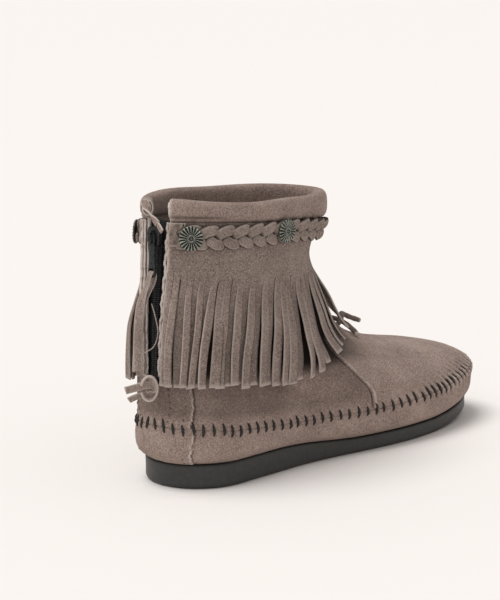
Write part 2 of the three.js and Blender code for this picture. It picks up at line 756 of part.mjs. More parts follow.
// Strap: a flat strip through the tab's hole, both legs down to a knot
const holeZ = pinZ - pullLength + 2.6;
const strapTurn = pullThickness / 2 + gap + slack + strapThickness / 2;
const knotX = -13;
const strapRoute = [
  [knotX - 2, 2.2, knotAt + 4], [knotX + 1.5, 2.4, knotAt + 24], [pinX - 2.6, 1.4, holeZ - 18],
  [pinX - strapTurn, 0.2, holeZ - 4], [pinX - strapTurn, 0, holeZ - 1], [pinX, 0, holeZ + 0.55],
  [pinX + strapTurn, 0, holeZ - 1], [pinX + strapTurn, -0.2, holeZ - 4],
  [pinX + 0.4, -1.4, holeZ - 18], [knotX + 5, -2.4, knotAt + 24], [knotX + 1, -2.2, knotAt + 4],
];
function flatStrip(route, steps) {
  const curve = new THREE.CatmullRomCurve3(route.map((p) => new THREE.Vector3(...p)), false, 'centripetal');
  return ringBody(spread(0, 1, steps).map((share) => {
    const at = curve.getPoint(share);
    const ahead = curve.getTangent(share);
    const wide = new THREE.Vector3(0, 1, 0).addScaledVector(ahead, -ahead.y).normalize();
    const thick = new THREE.Vector3().crossVectors(ahead, wide);
    const corner = (a, b) => at.clone().addScaledVector(wide, a).addScaledVector(thick, b);
    const [w, t] = [strapWidth / 2, strapThickness / 2];
    return [corner(-w, -t), corner(w, -t), corner(w, t), corner(-w, t)];
  }));
}
const knot = new THREE.TorusKnotGeometry(knotRadius, knotCord, 30, 5, 2, 3)
  .rotateY(Math.PI / 2).translate(knotX, 0, knotAt);
const tailRoutes = [
  [[knotX - 1, 2, knotAt - 3], [knotX - 2.4, 4, knotAt - 8], [knotX - 3, 5.4, knotAt - 14]],
  [[knotX - 1, -2, knotAt - 3], [knotX - 2, -4, knotAt - 8], [knotX - 2.4, -5.6, knotAt - 13]],
];
const tails = tailRoutes.map((route) => flatStrip(route, 2));
addPart('pull_strap', joined([flatStrip(strapRoute, 24), knot, ...tails]), suede);

// Lace: an end comes out of each eyelet, and the two cross once before they part
const laceRoutes = {
  lace_end_outer: [[137.8, -3.4, 67], [140.9, -5.3, 71.1], [144, -3, 74], [148, -0.4, 73.4], [155, 0, 70.4],
    [163.5, 0, 67.2]],
  lace_end_inner: [[137.9, 5, 67], [141, 6.8, 71.2], [144.6, 4.4, 70.8], [146.4, 0, 69.6],
    [146.6, -5.4, 67.6], [145.8, -10.6, 65.4], [144.6, -15.4, 63.2]],
};
Object.entries(laceRoutes).forEach(([name, route]) => {
  const path = new THREE.CatmullRomCurve3(route.map((p) => new THREE.Vector3(...p)), false, 'centripetal');
  const section = new THREE.Shape(Array.from({ length: 8 }, (_, k) => new THREE.Vector2(
    laceRadius * Math.cos((Math.PI * k) / 4),
    laceRadius * Math.sin((Math.PI * k) / 4),
  )));
  addPart(name, new THREE.ExtrudeGeometry(section, { extrudePath: path, steps: 12 }), suede);
});

export default boot;
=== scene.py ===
# %% [markdown]
# # A fringed suede moccasin boot
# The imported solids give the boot's place and size. Here each soft piece is made again as a fine
# surface: leather is never flat, so its creases, raised edges, stitches and nap are what the eye
# looks for. Every surface is a function on a grid of two parameters, worked out with numpy.

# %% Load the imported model
"""A right-foot moccasin boot: u goes round the boot from the back (0) along the outer side to the
toe (0.5) and back along the inner side; v counts the rows of contours from the sole (0) to the
collar (16). A point of a piece is the leather's own point at (u, v) plus a distance along its
normal. Lengths are in millimetres until a mesh is made."""
import math

import bpy
import numpy as np
from mathutils import Matrix


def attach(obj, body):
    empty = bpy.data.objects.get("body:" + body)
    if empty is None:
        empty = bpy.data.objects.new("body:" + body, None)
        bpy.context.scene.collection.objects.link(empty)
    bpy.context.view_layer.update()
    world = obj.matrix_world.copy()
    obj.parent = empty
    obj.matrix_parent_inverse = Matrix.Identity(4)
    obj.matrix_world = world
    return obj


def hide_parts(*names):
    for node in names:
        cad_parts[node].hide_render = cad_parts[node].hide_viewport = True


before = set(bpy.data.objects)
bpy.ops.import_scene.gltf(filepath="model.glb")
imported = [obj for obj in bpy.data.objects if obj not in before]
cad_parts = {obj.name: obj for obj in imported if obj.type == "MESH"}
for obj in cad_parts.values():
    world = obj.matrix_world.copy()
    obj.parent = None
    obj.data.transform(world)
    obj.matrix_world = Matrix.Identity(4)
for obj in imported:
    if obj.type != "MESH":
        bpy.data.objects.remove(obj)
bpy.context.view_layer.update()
BOOT, PULL = "boot", "pull"
MM = 0.001
HEEL_REST = 30.0
print("nodes", sorted(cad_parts))

# %% [markdown]
# ## Camera
# The view is over the outer heel, towards the toe. A long lens keeps the upright lines upright.
# The target, direction and roll were found by fitting the sole's outline and the collar's rim.

# %% Camera
AZIMUTH, ELEVATION, ROLL = math.radians(-45.53), math.radians(10.31), math.radians(-0.73)
TARGET = np.array([40.75, 0.0, 92.23])
DISTANCE = 1000.0
FOCAL_PIXELS, PICTURE_HEIGHT, SENSOR = 1790.0, 600.0, 36.0

back = np.array([
    math.sin(AZIMUTH) * math.cos(ELEVATION),
    -math.cos(AZIMUTH) * math.cos(ELEVATION),
    math.sin(ELEVATION),
])
level_right = np.array([math.cos(AZIMUTH), math.sin(AZIMUTH), 0.0])
level_up = np.cross(back, level_right)
right = level_right * math.cos(ROLL) + level_up * math.sin(ROLL)
up = level_up * math.cos(ROLL) - level_right * math.sin(ROLL)

lens = bpy.data.cameras.new("camera")
lens.sensor_fit = "VERTICAL"
lens.sensor_height = SENSOR
lens.lens = FOCAL_PIXELS / PICTURE_HEIGHT * SENSOR
camera = bpy.data.objects.new("camera", lens)
bpy.context.scene.collection.objects.link(camera)
place = Matrix([(*row, 0.0) for row in np.column_stack([right, up, back])]).to_4x4()
place.translation = (TARGET + back * DISTANCE) * MM
camera.matrix_world = place
bpy.context.scene.camera = camera
print("lens", round(lens.lens, 1), "mm")

# %% [markdown]
# ## Meshes from arrays
# A grid of points becomes a mesh in a few whole-array steps. Each point may carry a tone: above 0
# it shows the pale, fuzzy cut edge of the leather, and in a few places a painted highlight; below 0
# it is painted shade in folds, grooves and gaps, and on a few pieces their own darker colour.

# %% A mesh from points and four-cornered faces
def mesh_object(name, points, faces, body, material, tone=None):
    """Puts points (n, 3) in millimetres and faces (m, 4) into one mesh that rides on a body."""
    mesh = bpy.data.meshes.new(name)
    mesh.vertices.add(len(points))
    mesh.vertices.foreach_set("co", (points * MM).astype(np.float32).ravel())
    mesh.loops.add(faces.size)
    mesh.loops.foreach_set("vertex_index", faces.astype(np.int32).ravel())
    mesh.polygons.add(len(faces))
    mesh.polygons.foreach_set("loop_start", np.arange(0, faces.size, 4, dtype=np.int32))
    mesh.polygons.foreach_set("use_smooth", np.full(len(faces), True))
    layer = mesh.attributes.new("tone", "FLOAT", "POINT")
    values = np.zeros(len(points)) if tone is None else np.asarray(tone).ravel()
    layer.data.foreach_set("value", values.astype(np.float32))
    mesh.update(calc_edges=True)
    mesh.validate()
    mesh.materials.append(material)
    piece = bpy.data.objects.new(name, mesh)
    bpy.context.scene.collection.objects.link(piece)
    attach(piece, body)
    return piece


def grid_faces(rows, columns, loop=False):
    """Faces of a grid whose point (i, j) has the number i * columns + j. A loop joins the last
    column to the first."""
    i, j = np.meshgrid(np.arange(rows - 1), np.arange(columns if loop else columns - 1), indexing="ij")
    ahead = (j + 1) % columns
    corners = [i * columns + j, i * columns + ahead, (i + 1) * columns + ahead, (i + 1) * columns + j]
    return np.stack(corners, axis=-1).reshape(-1, 4)


def outward(points, faces):
    """Turns all faces round if the volume that they enclose comes out negative."""
    a, b, c, d = (points[faces[:, k]] for k in range(4))
    volume = np.einsum("ij,ij->", a, np.cross(b, c)) + np.einsum("ij,ij->", a, np.cross(c, d))
    return faces[:, ::-1] if volume < 0 else faces


def rods(rings, loop=False):
    """Rings (k, r, s, 3) of k rods with r rings of s points, s even: joins the rings and closes both
    ends straight across, from each point to the one opposite it."""
    count, length, size, _ = rings.shape
    side = grid_faces(length, size, loop=True)
    if loop:
        last = (length - 1) * size
        j = np.arange(size)
        side = np.vstack([side, np.stack([last + j, last + (j + 1) % size, (j + 1) % size, j], axis=-1)])
    else:
        j = np.arange(size // 2 - 1)
        cap = np.stack([j, j + 1, size - 2 - j, size - 1 - j], axis=-1)
        side = np.vstack([side, cap[:, ::-1], cap + (length - 1) * size])
    points = rings.reshape(-1, 3)
    first = outward(points[: length * size], side)
    steps = np.arange(count)[:, None, None] * length * size
    return points, (first[None] + steps).reshape(-1, 4)


def shell(outer, inner, kept=None):
    """A leather wall: an outer and an inner grid (rows, columns, 3), joined round their edges. To save
    faces, the inner grid may have only the kept rows of the outer one, with steps of one or three:
    at each end an inner step is joined to the outer steps beside it by four-cornered faces."""
    rows, columns, _ = outer.shape
    size = rows * columns
    kept = np.arange(rows) if kept is None else kept
    out, into, j = kept * columns, size + np.arange(len(kept)) * columns, np.arange(columns - 1)
    faces = [grid_faces(rows, columns), grid_faces(len(kept), columns)[:, ::-1] + size,
             np.stack([j + size, j + 1 + size, j + 1, j], axis=-1),
             np.stack([out[-1] + j, out[-1] + j + 1, into[-1] + j + 1, into[-1] + j], axis=-1)]
    for end, order in ((0, 1), (columns - 1, -1)):
        for step in (1, 3):
            k = np.flatnonzero(np.diff(kept) == step)
            row = [out[k] + end + i * columns for i in range(step + 1)]
            foot, head = into[k] + end, into[k + 1] + end
            ends = [[row[-2], row[-1], head, foot]] + ([[*row[:3], foot]] if step == 3 else [])
            faces += [np.stack(corners, axis=-1)[:, ::order] for corners in ends]
    points = np.vstack([outer.reshape(-1, 3), inner.reshape(-1, 3)])
    return points, outward(points, np.vstack(faces))


# %% [markdown]
# ## The last: one function for the whole boot
# A shoe's shape comes from the last that it is made on. Here the last is seventeen contours, each
# a heel arc, two flanks and a toe arc, with smooth curves between them from row to row. The rows
# are shares of a few sizes, so the boot can be made longer or wider from one place.

# %% Sizes of the boot, in millimetres
SOLE_LENGTH, HEEL_HALF, BALL_OUTER, BALL_INNER = 250.0, 30.5, 42.0, 46.0
ARCH_INSET, TOE_TURN, SOLE_BLUNT = 3.0, 4.0, 2.4
HEEL_THICKNESS, FORE_THICKNESS, TOE_SPRING, SPRING_START, EDGE_ROUND = 13.3, 8.8, 6.4, 0.74, 2.6
LEATHER, GAP, SLACK = 2.0, 0.35, 0.15
SEAM_BACK, SEAM_FRONT, SEAM_SAG = 35.0, 34.0, 9.5
BULGE, BULGE_AT_TOE, TUCK, SHAFT_HEIGHT = 5.5, 2.0, 2.2, 145.0
SEAM_ROW, TOP_ROW, SLIT_ROW = 3, 16, 12.5
WRAP_TABLE = [(-TUCK / BULGE, 0), (0.8, 0.24), (1.05, 0.62), (0.8, 1)]
# Columns: back, backHeight, front, frontHeight, sag, heel, outer, inner, heelRound, toeRound, blunt
UPPER_TABLE = [
    (-0.022, 0.303, 0.952, 0.292, 0.055, 1.00, 1.05, 1.03, 0.16, 0.36, 2.35),
    (-0.021, 0.359, 0.852, 0.338, 0.048, 0.97, 0.98, 0.95, 0.16, 0.40, 2.2),
    (-0.019, 0.414, 0.756, 0.370, 0.042, 0.95, 0.91, 0.87, 0.17, 0.44, 2.05),
    (-0.018, 0.476, 0.672, 0.401, 0.036, 0.93, 0.84, 0.79, 0.19, 0.48, 1.9),
    (-0.017, 0.538, 0.602, 0.437, 0.030, 0.91, 0.77, 0.72, 0.22, 0.52, 1.8),
    (-0.016, 0.600, 0.556, 0.486, 0.021, 0.90, 0.71, 0.66, 0.26, 0.56, 1.8),
    (-0.014, 0.663, 0.520, 0.552, 0.012, 0.89, 0.67, 0.62, 0.32, 0.58, 1.85),
    (-0.012, 0.724, 0.488, 0.634, 0.005, 0.88, 0.65, 0.60, 0.38, 0.58, 1.9),
    (-0.008, 0.786, 0.460, 0.714, 0, 0.88, 0.64, 0.58, 0.44, 0.55, 2),
    (-0.006, 0.848, 0.438, 0.786, 0, 0.88, 0.64, 0.58, 0.48, 0.52, 2.1),
    (-0.004, 0.903, 0.439, 0.842, 0, 0.89, 0.645, 0.59, 0.48, 0.50, 2.2),
    (-0.002, 0.952, 0.458, 0.890, 0, 0.90, 0.655, 0.60, 0.48, 0.50, 2.2),
    (0, 1, 0.480, 0.938, 0, 0.92, 0.67, 0.61, 0.48, 0.50, 2.2),
]


# %% Contours
def lerp(a, b, t):
    """a plus t times the way to b."""
    return a + (b - a) * t


def smooth(x, low, high):
    """0 below low, 1 above high, and a smooth S between them."""
    t = np.clip((x - low) / (high - low), 0, 1)
    return t * t * (3 - 2 * t)


def bell(x, width):
    """1 at 0, falling as a bell of that width."""
    return np.exp(-((x / width) ** 2))


def rounded(value, power):
    """A sine or cosine raised to a power below 1, its sign kept: it squares a circle off."""
    return np.sign(value) * np.abs(value) ** power


def angles(sides, start=0.5):
    """Angles of the corners of a section, half a step from the first axis unless told otherwise."""
    return 2 * np.pi * (np.arange(sides) + start) / sides


def looked_up(x, table):
    """The value at x in a table of (x, value) rows, straight between them."""
    return np.interp(x, table[:, 0], table[:, 1])


def from_back(u):
    """The share of the way round counted from the back, on either side."""
    return np.minimum(np.mod(u, 1), 1 - np.mod(u, 1))


def sole_bottom(x):
    """Flat, then rising towards the toe as a power of the share past the spring's start."""
    share = np.clip((x / SOLE_LENGTH - SPRING_START) / (1 - SPRING_START), 0, 1.1)
    return TOE_SPRING * share ** 1.45


def sole_top(x):
    """The bottom plus the forefoot's thickness, with the heel's extra thickness fading out."""
    heel = 1 - smooth(x / SOLE_LENGTH, 0.24, 0.52)
    return sole_bottom(x) + FORE_THICKNESS + (HEEL_THICKNESS - FORE_THICKNESS) * heel


def seam_line(s):
    """The whipstitched seam's height: from back to front, with a sag between."""
    return lerp(SEAM_BACK, SEAM_FRONT, s) - SEAM_SAG * np.sin(np.pi * s)


def round_end(t, power=2.0):
    """A superellipse's height at t from its middle."""
    return np.maximum(0, 1 - np.maximum(t, 0) ** power) ** (1 / power)


def contour(row, side, s):
    """One flank of a contour, from the back (s = 0) to the toe (s = 1)."""
    ball = row["outer"] if side < 0 else row["inner"]
    heel_arc = round_end(1 - np.minimum(s / row["heel_round"], 1))
    toe_arc = round_end((s - 1 + row["toe_round"]) / row["toe_round"], row["blunt"])
    arch = row["arch"] * bell(s - 0.42, 0.14) if side > 0 else 0
    width = lerp(row["heel"], ball, smooth(s, 0.3, 0.68)) - arch
    x = lerp(row["back"], row["front"], s)
    y = side * width * heel_arc * toe_arc + TOE_TURN * np.sign(x) * np.abs(x / SOLE_LENGTH) ** 3
    return np.stack([x, y, row["height"](s, x)], axis=-1)


def grown_sole(grow, height):
    """The sole's outline grown outwards, for the wrap's rows and for the sole itself."""
    out = grow * BULGE
    return dict(
        back=-out, front=SOLE_LENGTH + grow * BULGE_AT_TOE, heel=HEEL_HALF + out * 0.6,
        outer=BALL_OUTER + out * 0.8, inner=BALL_INNER + out * 0.8, arch=ARCH_INSET,
        heel_round=lerp(HEEL_HALF / SOLE_LENGTH, 0.16, min(max(grow, 0), 1)), toe_round=0.34,
        blunt=SOLE_BLUNT, height=height,
    )


def wrap_row(grow, lift):
    return grown_sole(grow, lambda s, x: lerp(sole_top(x) + GAP, seam_line(s), lift))


def upper_row(line):
    names = ["back", "back_height", "front", "front_height", "sag", "heel", "outer", "inner",
             "heel_round", "toe_round", "blunt"]
    row = dict(zip(names, line), arch=0)
    low, high, sag = row["back_height"], row["front_height"], row["sag"]
    row.update(back=row["back"] * SOLE_LENGTH, front=row["front"] * SOLE_LENGTH, heel=row["heel"] * HEEL_HALF,
               outer=row["outer"] * BALL_OUTER, inner=row["inner"] * BALL_INNER)
    row["height"] = lambda s, x: SHAFT_HEIGHT * (lerp(low, high, s) - sag * np.sin(np.pi * s))
    return row


last_rows = [wrap_row(*line) for line in WRAP_TABLE] + [upper_row(line) for line in UPPER_TABLE]
print("rows", len(last_rows))

# %% [markdown]
# ## A point for every (u, v)
# Each contour is measured along its length once, so that u is a true share of the way round.
# Between rows the points follow a Catmull-Rom curve, and a distance along the normal lays every
# other piece over or under the leather.

# %% The leather's surface
MEASURED = 500
shares = (1 - np.cos(np.pi * np.arange(MEASURED + 1) / MEASURED)) / 2


def measured(row, side):
    """A flank's points, and the share of its length reached at each."""
    points = contour(row, side, shares)
    steps = np.linalg.norm(np.diff(points, axis=0), axis=1)
    reached = np.concatenate([[0], np.cumsum(steps)])
    return points, reached / reached[-1], reached[-1]


flanks = [(measured(row, -1), measured(row, 1)) for row in last_rows]
row_lengths = np.array([outer[2] + inner[2] for outer, inner in flanks])


def row_points(u):
    """Points of every row at the shares u: shape (rows, len(u), 3)."""
    around = np.mod(u, 1)
    on_outer = around <= 0.5
    share = np.where(on_outer, around * 2, 2 - around * 2)
    both = [np.stack([[np.interp(share, flank[1], flank[0][:, k]) for k in range(3)] for flank in pair])
            for pair in flanks]
    return np.stack([np.where(on_outer, pair[0], pair[1]).T for pair in both])


def surface(u, v):
    """The leather's outer surface: a Catmull-Rom blend of four rows' points at u."""
    u, v = np.broadcast_arrays(np.asarray(u, float), np.asarray(v, float))
    flat_u, flat_v = u.ravel(), np.clip(v.ravel(), 0, TOP_ROW)
    columns, where = np.unique(flat_u, return_inverse=True)
    table = row_points(columns)
    r = np.minimum(np.floor(flat_v), TOP_ROW - 1).astype(int)
    t = flat_v - r
    weights = [-0.5 * t**3 + t**2 - 0.5 * t, 1.5 * t**3 - 2.5 * t**2 + 1,
               -1.5 * t**3 + 2 * t**2 + 0.5 * t, 0.5 * t**3 - 0.5 * t**2]
    point = sum(w[:, None] * table[np.clip(r + k, 0, TOP_ROW), where] for k, w in zip((-1, 0, 1, 2), weights))
    return point.reshape(*u.shape, 3)


def unit(a):
    return a / np.maximum(np.linalg.norm(a, axis=-1, keepdims=True), 1e-9)


def normal(u, v, level=False):
    """Outward normal: across the way round and the way up. Level drops its upright share."""
    du, dv = 0.006, 0.1
    along = surface(u + du, v) - surface(u - du, v)
    upright = surface(u, np.minimum(v + dv, TOP_ROW)) - surface(u, np.maximum(v - dv, 0))
    n = np.cross(along, upright)
    if level:
        n = n * np.array([1, 1, 0])
    return unit(n)


def skin(u, v, out):
    """A point at a distance off the leather's outer surface."""
    u, v = np.broadcast_arrays(np.asarray(u, float), np.asarray(v, float))
    n = np.where((v >= TOP_ROW)[..., None], normal(u, v, level=True), normal(u, v))
    return surface(u, v) + n * np.asarray(out)[..., None]


def in_frame(points):
    """From the sole's back to the part's own origin under the heel."""
    return points - np.array([HEEL_REST, 0, 0])


def length_at(v):
    return np.interp(v, np.arange(len(row_lengths)), row_lengths)


print("way round at the seam and at the slits", length_at(3).round(), length_at(12.5).round())

# %% [markdown]
# ## Colours and one helper for nodes
# Colours are read as the hex values that a screen shows, and the shader wants linear light.

# %% Colours and nodes
def linear(hexcode):
    """sRGB hex to linear red, green, blue and alpha."""
    srgb = np.array([int(hexcode[k:k + 2], 16) / 255 for k in (1, 3, 5)])
    values = np.where(srgb <= 0.04045, srgb / 12.92, ((srgb + 0.055) / 1.055) ** 2.4)
    return (*values.tolist(), 1.0)


def add(tree, kind, inputs=None, **settings):
    """Adds a node, sets what is given, and links each input whose value is a socket."""
    node = tree.nodes.new(kind)
    for name, value in settings.items():
        setattr(node, name, value)
    for name, value in (inputs or {}).items():
        if isinstance(value, bpy.types.NodeSocket):
            tree.links.new(value, node.inputs[name])
        else:
            node.inputs[name].default_value = value
    return node


def new_material(name):
    material = bpy.data.materials.new(name)
    material.use_nodes = True
    tree = material.node_tree
    return material, tree, tree.nodes["Principled BSDF"]


def noise(tree, place, size_mm, detail=3.0, roughness=0.6):
    """Noise whose main spots are about size_mm across."""
    return add(tree, "ShaderNodeTexNoise", {"Vector": place, "Scale": 1 / (size_mm * MM), "Detail": detail,
                                            "Roughness": roughness}).outputs["Fac"]


def blend_colour(tree, factor, a, b):
    """A mix of two colours, each a hex code or a socket."""
    ends = {name: linear(value) if isinstance(value, str) else value for name, value in ((6, a), (7, b))}
    return add(tree, "ShaderNodeMix", {0: factor, **ends}, data_type="RGBA").outputs[2]


def ramp(tree, value, low, high, to_low=0.0, to_high=1.0):
    return add(tree, "ShaderNodeMapRange", {"Value": value, "From Min": low, "From Max": high,
                                            "To Min": to_low, "To Max": to_high}).outputs["Result"]


# %% [markdown]
# ## Suede
# Suede is leather buffed on its flesh side until the fibres stand up. It has no gloss: light that
# grazes it catches the fibre ends, which the sheen gives, and the hand brushes it into lighter and
# darker clouds a few millimetres to a few centimetres wide. Its cut edge is paler, because the dye
# doesn't soak through, and the tone attribute brings that out. The tone also paints shade in folds,
# grooves and gaps, and a few highlights.

# %% Suede
def suede(name, base, dark, light, edge="#d3c9c2", shade_and_speckle="#2a2320", nap=1.0):
    """Clouds 26 mm wide, brush marks 7 mm, tufts 1.2 mm and fibre ends 0.6 mm, mixed over a base
    colour. The real fibres are finer: they're drawn at 0.6 mm so that they still show."""
    material, tree, shader = new_material(name)
    place = add(tree, "ShaderNodeTexCoord").outputs["Object"]
    clouds = noise(tree, place, 26, 4, 0.55)
    brushed = noise(tree, place, 7, 3, 0.55)
    tufts = noise(tree, place, 1.2, 2, 0.6)
    fibre = noise(tree, place, 0.6, 1, 0.6)
    colour = blend_colour(tree, ramp(tree, clouds, 0.36, 0.64), dark, light)
    colour = blend_colour(tree, ramp(tree, brushed, 0.32, 0.68, 0.15, 0.85), colour, base)
    colour = blend_colour(tree, ramp(tree, tufts, 0.36, 0.50, 0.17 * nap, 0.0), colour, shade_and_speckle)
    colour = blend_colour(tree, ramp(tree, tufts, 0.50, 0.66, 0.0, 0.15 * nap), colour, edge)
    colour = blend_colour(tree, ramp(tree, fibre, 0.34, 0.50, 0.24 * nap, 0.0), colour, shade_and_speckle)
    colour = blend_colour(tree, ramp(tree, fibre, 0.50, 0.68, 0.0, 0.22 * nap), colour, edge)
    tone = add(tree, "ShaderNodeAttribute", attribute_name="tone").outputs["Fac"]
    # A tone above 0 mixes in the pale edge colour: cut edges, and in places a painted highlight. A tone below
    # 0 mixes in the dark colour: painted shade, and on some pieces their own darker colour.
    colour = blend_colour(tree, ramp(tree, tone, 0.0, 1.0), colour, edge)
    colour = blend_colour(tree, ramp(tree, tone, 0.0, -1.0), colour, shade_and_speckle)
    coarse = add(tree, "ShaderNodeBump", {"Height": brushed, "Strength": 0.4, "Distance": 0.9 * MM})
    middle = add(tree, "ShaderNodeBump", {"Height": tufts, "Strength": 0.3 * nap, "Distance": 0.4 * MM,
                                          "Normal": coarse.outputs["Normal"]})
    fine = add(tree, "ShaderNodeBump", {"Height": fibre, "Strength": 0.4 * nap, "Distance": 0.3 * MM,
                                        "Normal": middle.outputs["Normal"]})
    tree.links.new(colour, shader.inputs["Base Color"])
    tree.links.new(fine.outputs["Normal"], shader.inputs["Normal"])
    shader.inputs["Roughness"].default_value = 0.96
    shader.inputs["Specular IOR Level"].default_value = 0.15
    shader.inputs["Sheen Weight"].default_value = 0.15
    shader.inputs["Sheen Roughness"].default_value = 0.5
    shader.inputs["Sheen Tint"].default_value = linear("#d8ccc6")
    return material


upper_suede = suede("suede_upper", "#978277", "#827067", "#a9958b")
fringe_suede = suede("suede_fringe", "#87776e", "#75665e", "#988880", edge="#c4b8b0", nap=1.15)
braid_suede = suede("suede_braid", "#87796f", "#786a62", "#978981", edge="#c0b3ab")

# %% [markdown]
# ## Thread, rubber, zip cloth and metal
# The whipstitches are waxed charcoal thread. The sole is moulded crepe rubber: dark, matt, with a
# soft highlight and a little dust. The zip is black polyester. The ornaments are cast in a soft
# alloy and antiqued: dark in the grooves, rubbed bright on the ridges.

# %% Other materials
def plain(name, dark, light, size_mm, roughness, bump=0.3, depth_mm=0.1, **sockets):
    """A material of two near colours in a noise of the given size, with a fine bump."""
    material, tree, shader = new_material(name)
    place = add(tree, "ShaderNodeTexCoord").outputs["Object"]
    grain = noise(tree, place, size_mm, 4, 0.6)
    colour = blend_colour(tree, ramp(tree, grain, 0.35, 0.65), dark, light)
    tone = add(tree, "ShaderNodeAttribute", attribute_name="tone").outputs["Fac"]
    colour = blend_colour(tree, ramp(tree, tone, 0.0, 1.0), colour, light)
    colour = blend_colour(tree, ramp(tree, tone, 0.0, -1.0), colour, dark)
    height = add(tree, "ShaderNodeBump", {"Height": grain, "Strength": bump, "Distance": depth_mm * MM})
    tree.links.new(colour, shader.inputs["Base Color"])
    tree.links.new(height.outputs["Normal"], shader.inputs["Normal"])
    shader.inputs["Roughness"].default_value = roughness
    for socket, value in sockets.items():
        shader.inputs[socket.replace("_", " ")].default_value = value
    return material


thread = plain("waxed_thread", "#191615", "#2e2a28", 0.6, 0.75, 0.5, 0.12)
rubber = plain("moulded_rubber", "#2b2a28", "#343331", 2.5, 0.5, 0.12, 0.08)
zip_cloth = plain("polyester_zip_tape", "#0e0e0f", "#1c1c1e", 0.5, 0.85, 0.6, 0.15)
zip_nylon = plain("nylon_zip_coil", "#161617", "#2c2c2e", 0.8, 0.4)
board = plain("leatherboard_insole", "#75665c", "#8a7a6f", 2.0, 0.85)
gunmetal = plain("painted_zinc_gunmetal", "#232525", "#3c3f3f", 1.2, 0.4, 0.15, 0.05, Metallic=0.7)
antique = plain("antiqued_alloy", "#1b1c19", "#9a9d94", 0.9, 0.42, 0.3, 0.06, Metallic=0.8)
print("materials", len(bpy.data.materials))

# %% [markdown]
# ## Studio
# A pale seamless floor that runs past the edge of the view, a wide soft light from above the heel,
# and a bright surround that fills the shadows. The wide light is a sun with a large angle, so that
# it lights the far floor as evenly as the near floor.

# %% Floor and light
FLOOR_HALF = 60.0
mesh = bpy.data.meshes.new("floor")
mesh.from_pydata([(-FLOOR_HALF, -FLOOR_HALF, 0), (FLOOR_HALF, -FLOOR_HALF, 0), (FLOOR_HALF, FLOOR_HALF, 0),
                  (-FLOOR_HALF, FLOOR_HALF, 0)], [], [(0, 1, 2, 3)])
paper, _, shader = new_material("studio_paper")
shader.inputs["Base Color"].default_value = linear("#f6f2ef")
shader.inputs["Roughness"].default_value = 0.95
shader.inputs["Specular IOR Level"].default_value = 0.1
mesh.materials.append(paper)
floor = bpy.data.objects.new("floor", mesh)
bpy.context.scene.collection.objects.link(floor)


def soft_sun(name, towards, strength, angle_deg):
    """A sun whose light comes from the direction given, from a disc that many degrees wide."""
    light = bpy.data.lights.new(name, "SUN")
    light.energy, light.angle = strength, math.radians(angle_deg)
    lamp = bpy.data.objects.new(name, light)
    z = np.array(towards) / np.linalg.norm(towards)
    x = np.cross([0, 1, 0], z)
    x = x / np.linalg.norm(x)
    lamp.matrix_world = Matrix([(*row, 0.0) for row in np.column_stack([x, np.cross(z, x), z])]).to_4x4()
    bpy.context.scene.collection.objects.link(lamp)


world = bpy.data.worlds.new("studio")
bpy.context.scene.world = world
world.use_nodes = True
world.node_tree.nodes["Background"].inputs["Color"].default_value = linear("#fdf9f6")
world.node_tree.nodes["Background"].inputs["Strength"].default_value = 0.5
bpy.context.scene.view_settings.view_transform = "Standard"
soft_sun("overhead", (-0.30, 0.18, 1.0), 1.78, 34)
soft_sun("side", (-1.0, -0.6, 0.7), 0.25, 40)

# %% [markdown]
# ## Laces
# Two ends of a round suede lace come out of a pair of eyelets under the fringe. They are short and
# free, so they are cords: a round section is carried along the same points as the solid's route.

# %% Lace ends
LACE_RADIUS = 1.5
LACE_ROUTES = {
    "lace_end_outer": [(137.8, -3.4, 67), (140.9, -5.3, 71.1), (144, -3, 74), (148, -0.4, 73.4),
                       (155, 0, 70.4), (163.5, 0, 67.2)],
    "lace_end_inner": [(137.9, 5, 67), (141, 6.8, 71.2), (144.6, 4.4, 70.8), (146.4, 0, 69.6),
                       (146.6, -5.4, 67.6), (145.8, -10.6, 65.4), (144.6, -15.4, 63.2)],
}


def smooth_path(points, count):
    """A centripetal Catmull-Rom curve through the points, at even steps along its length."""
    p = np.array(points, float)
    p = np.vstack([2 * p[0] - p[1], p, 2 * p[-1] - p[-2]])
    knots = np.concatenate([[0], np.cumsum(np.linalg.norm(np.diff(p, axis=0), axis=1) ** 0.5)])
    t = np.linspace(knots[1], knots[-2], count * 8)
    k = np.clip(np.searchsorted(knots, t, side="right") - 1, 1, len(p) - 3)

    def between(a, b, low, high):
        return ((high - t)[:, None] * a + (t - low)[:, None] * b) / (high - low)[:, None]

    t0, t1, t2, t3 = (knots[k + d] for d in (-1, 0, 1, 2))
    a1, a2, a3 = (between(p[k + i - 1], p[k + i], low, high)
                  for i, low, high in ((0, t0, t1), (1, t1, t2), (2, t2, t3)))
    curve = between(between(a1, a2, t0, t2), between(a2, a3, t1, t3), t1, t2)
    reached = np.concatenate([[0], np.cumsum(np.linalg.norm(np.diff(curve, axis=0), axis=1))])
    even = np.linspace(0, reached[-1], count)
    return np.stack([np.interp(even, reached, curve[:, k]) for k in range(3)], axis=-1)


def directions(path, first):
    """Tangents, and two steady directions across them that start from the one given."""
    ahead = unit(np.gradient(path, axis=0))
    across = unit(first - ahead * np.sum(first * ahead, axis=-1, keepdims=True))
    return ahead, across, np.cross(ahead, across)


def round_rod(path, radius, sides, first=(0.0, 1.0, 0.2)):
    """Rings of a round section: radius may be one number or one for each step."""
    _, a, b = directions(path, np.array(first))
    angle = angles(sides, 0)[:, None]
    r = np.broadcast_to(radius, len(path))[:, None, None]
    return path[:, None] + r * (np.cos(angle) * a[:, None] + np.sin(angle) * b[:, None])


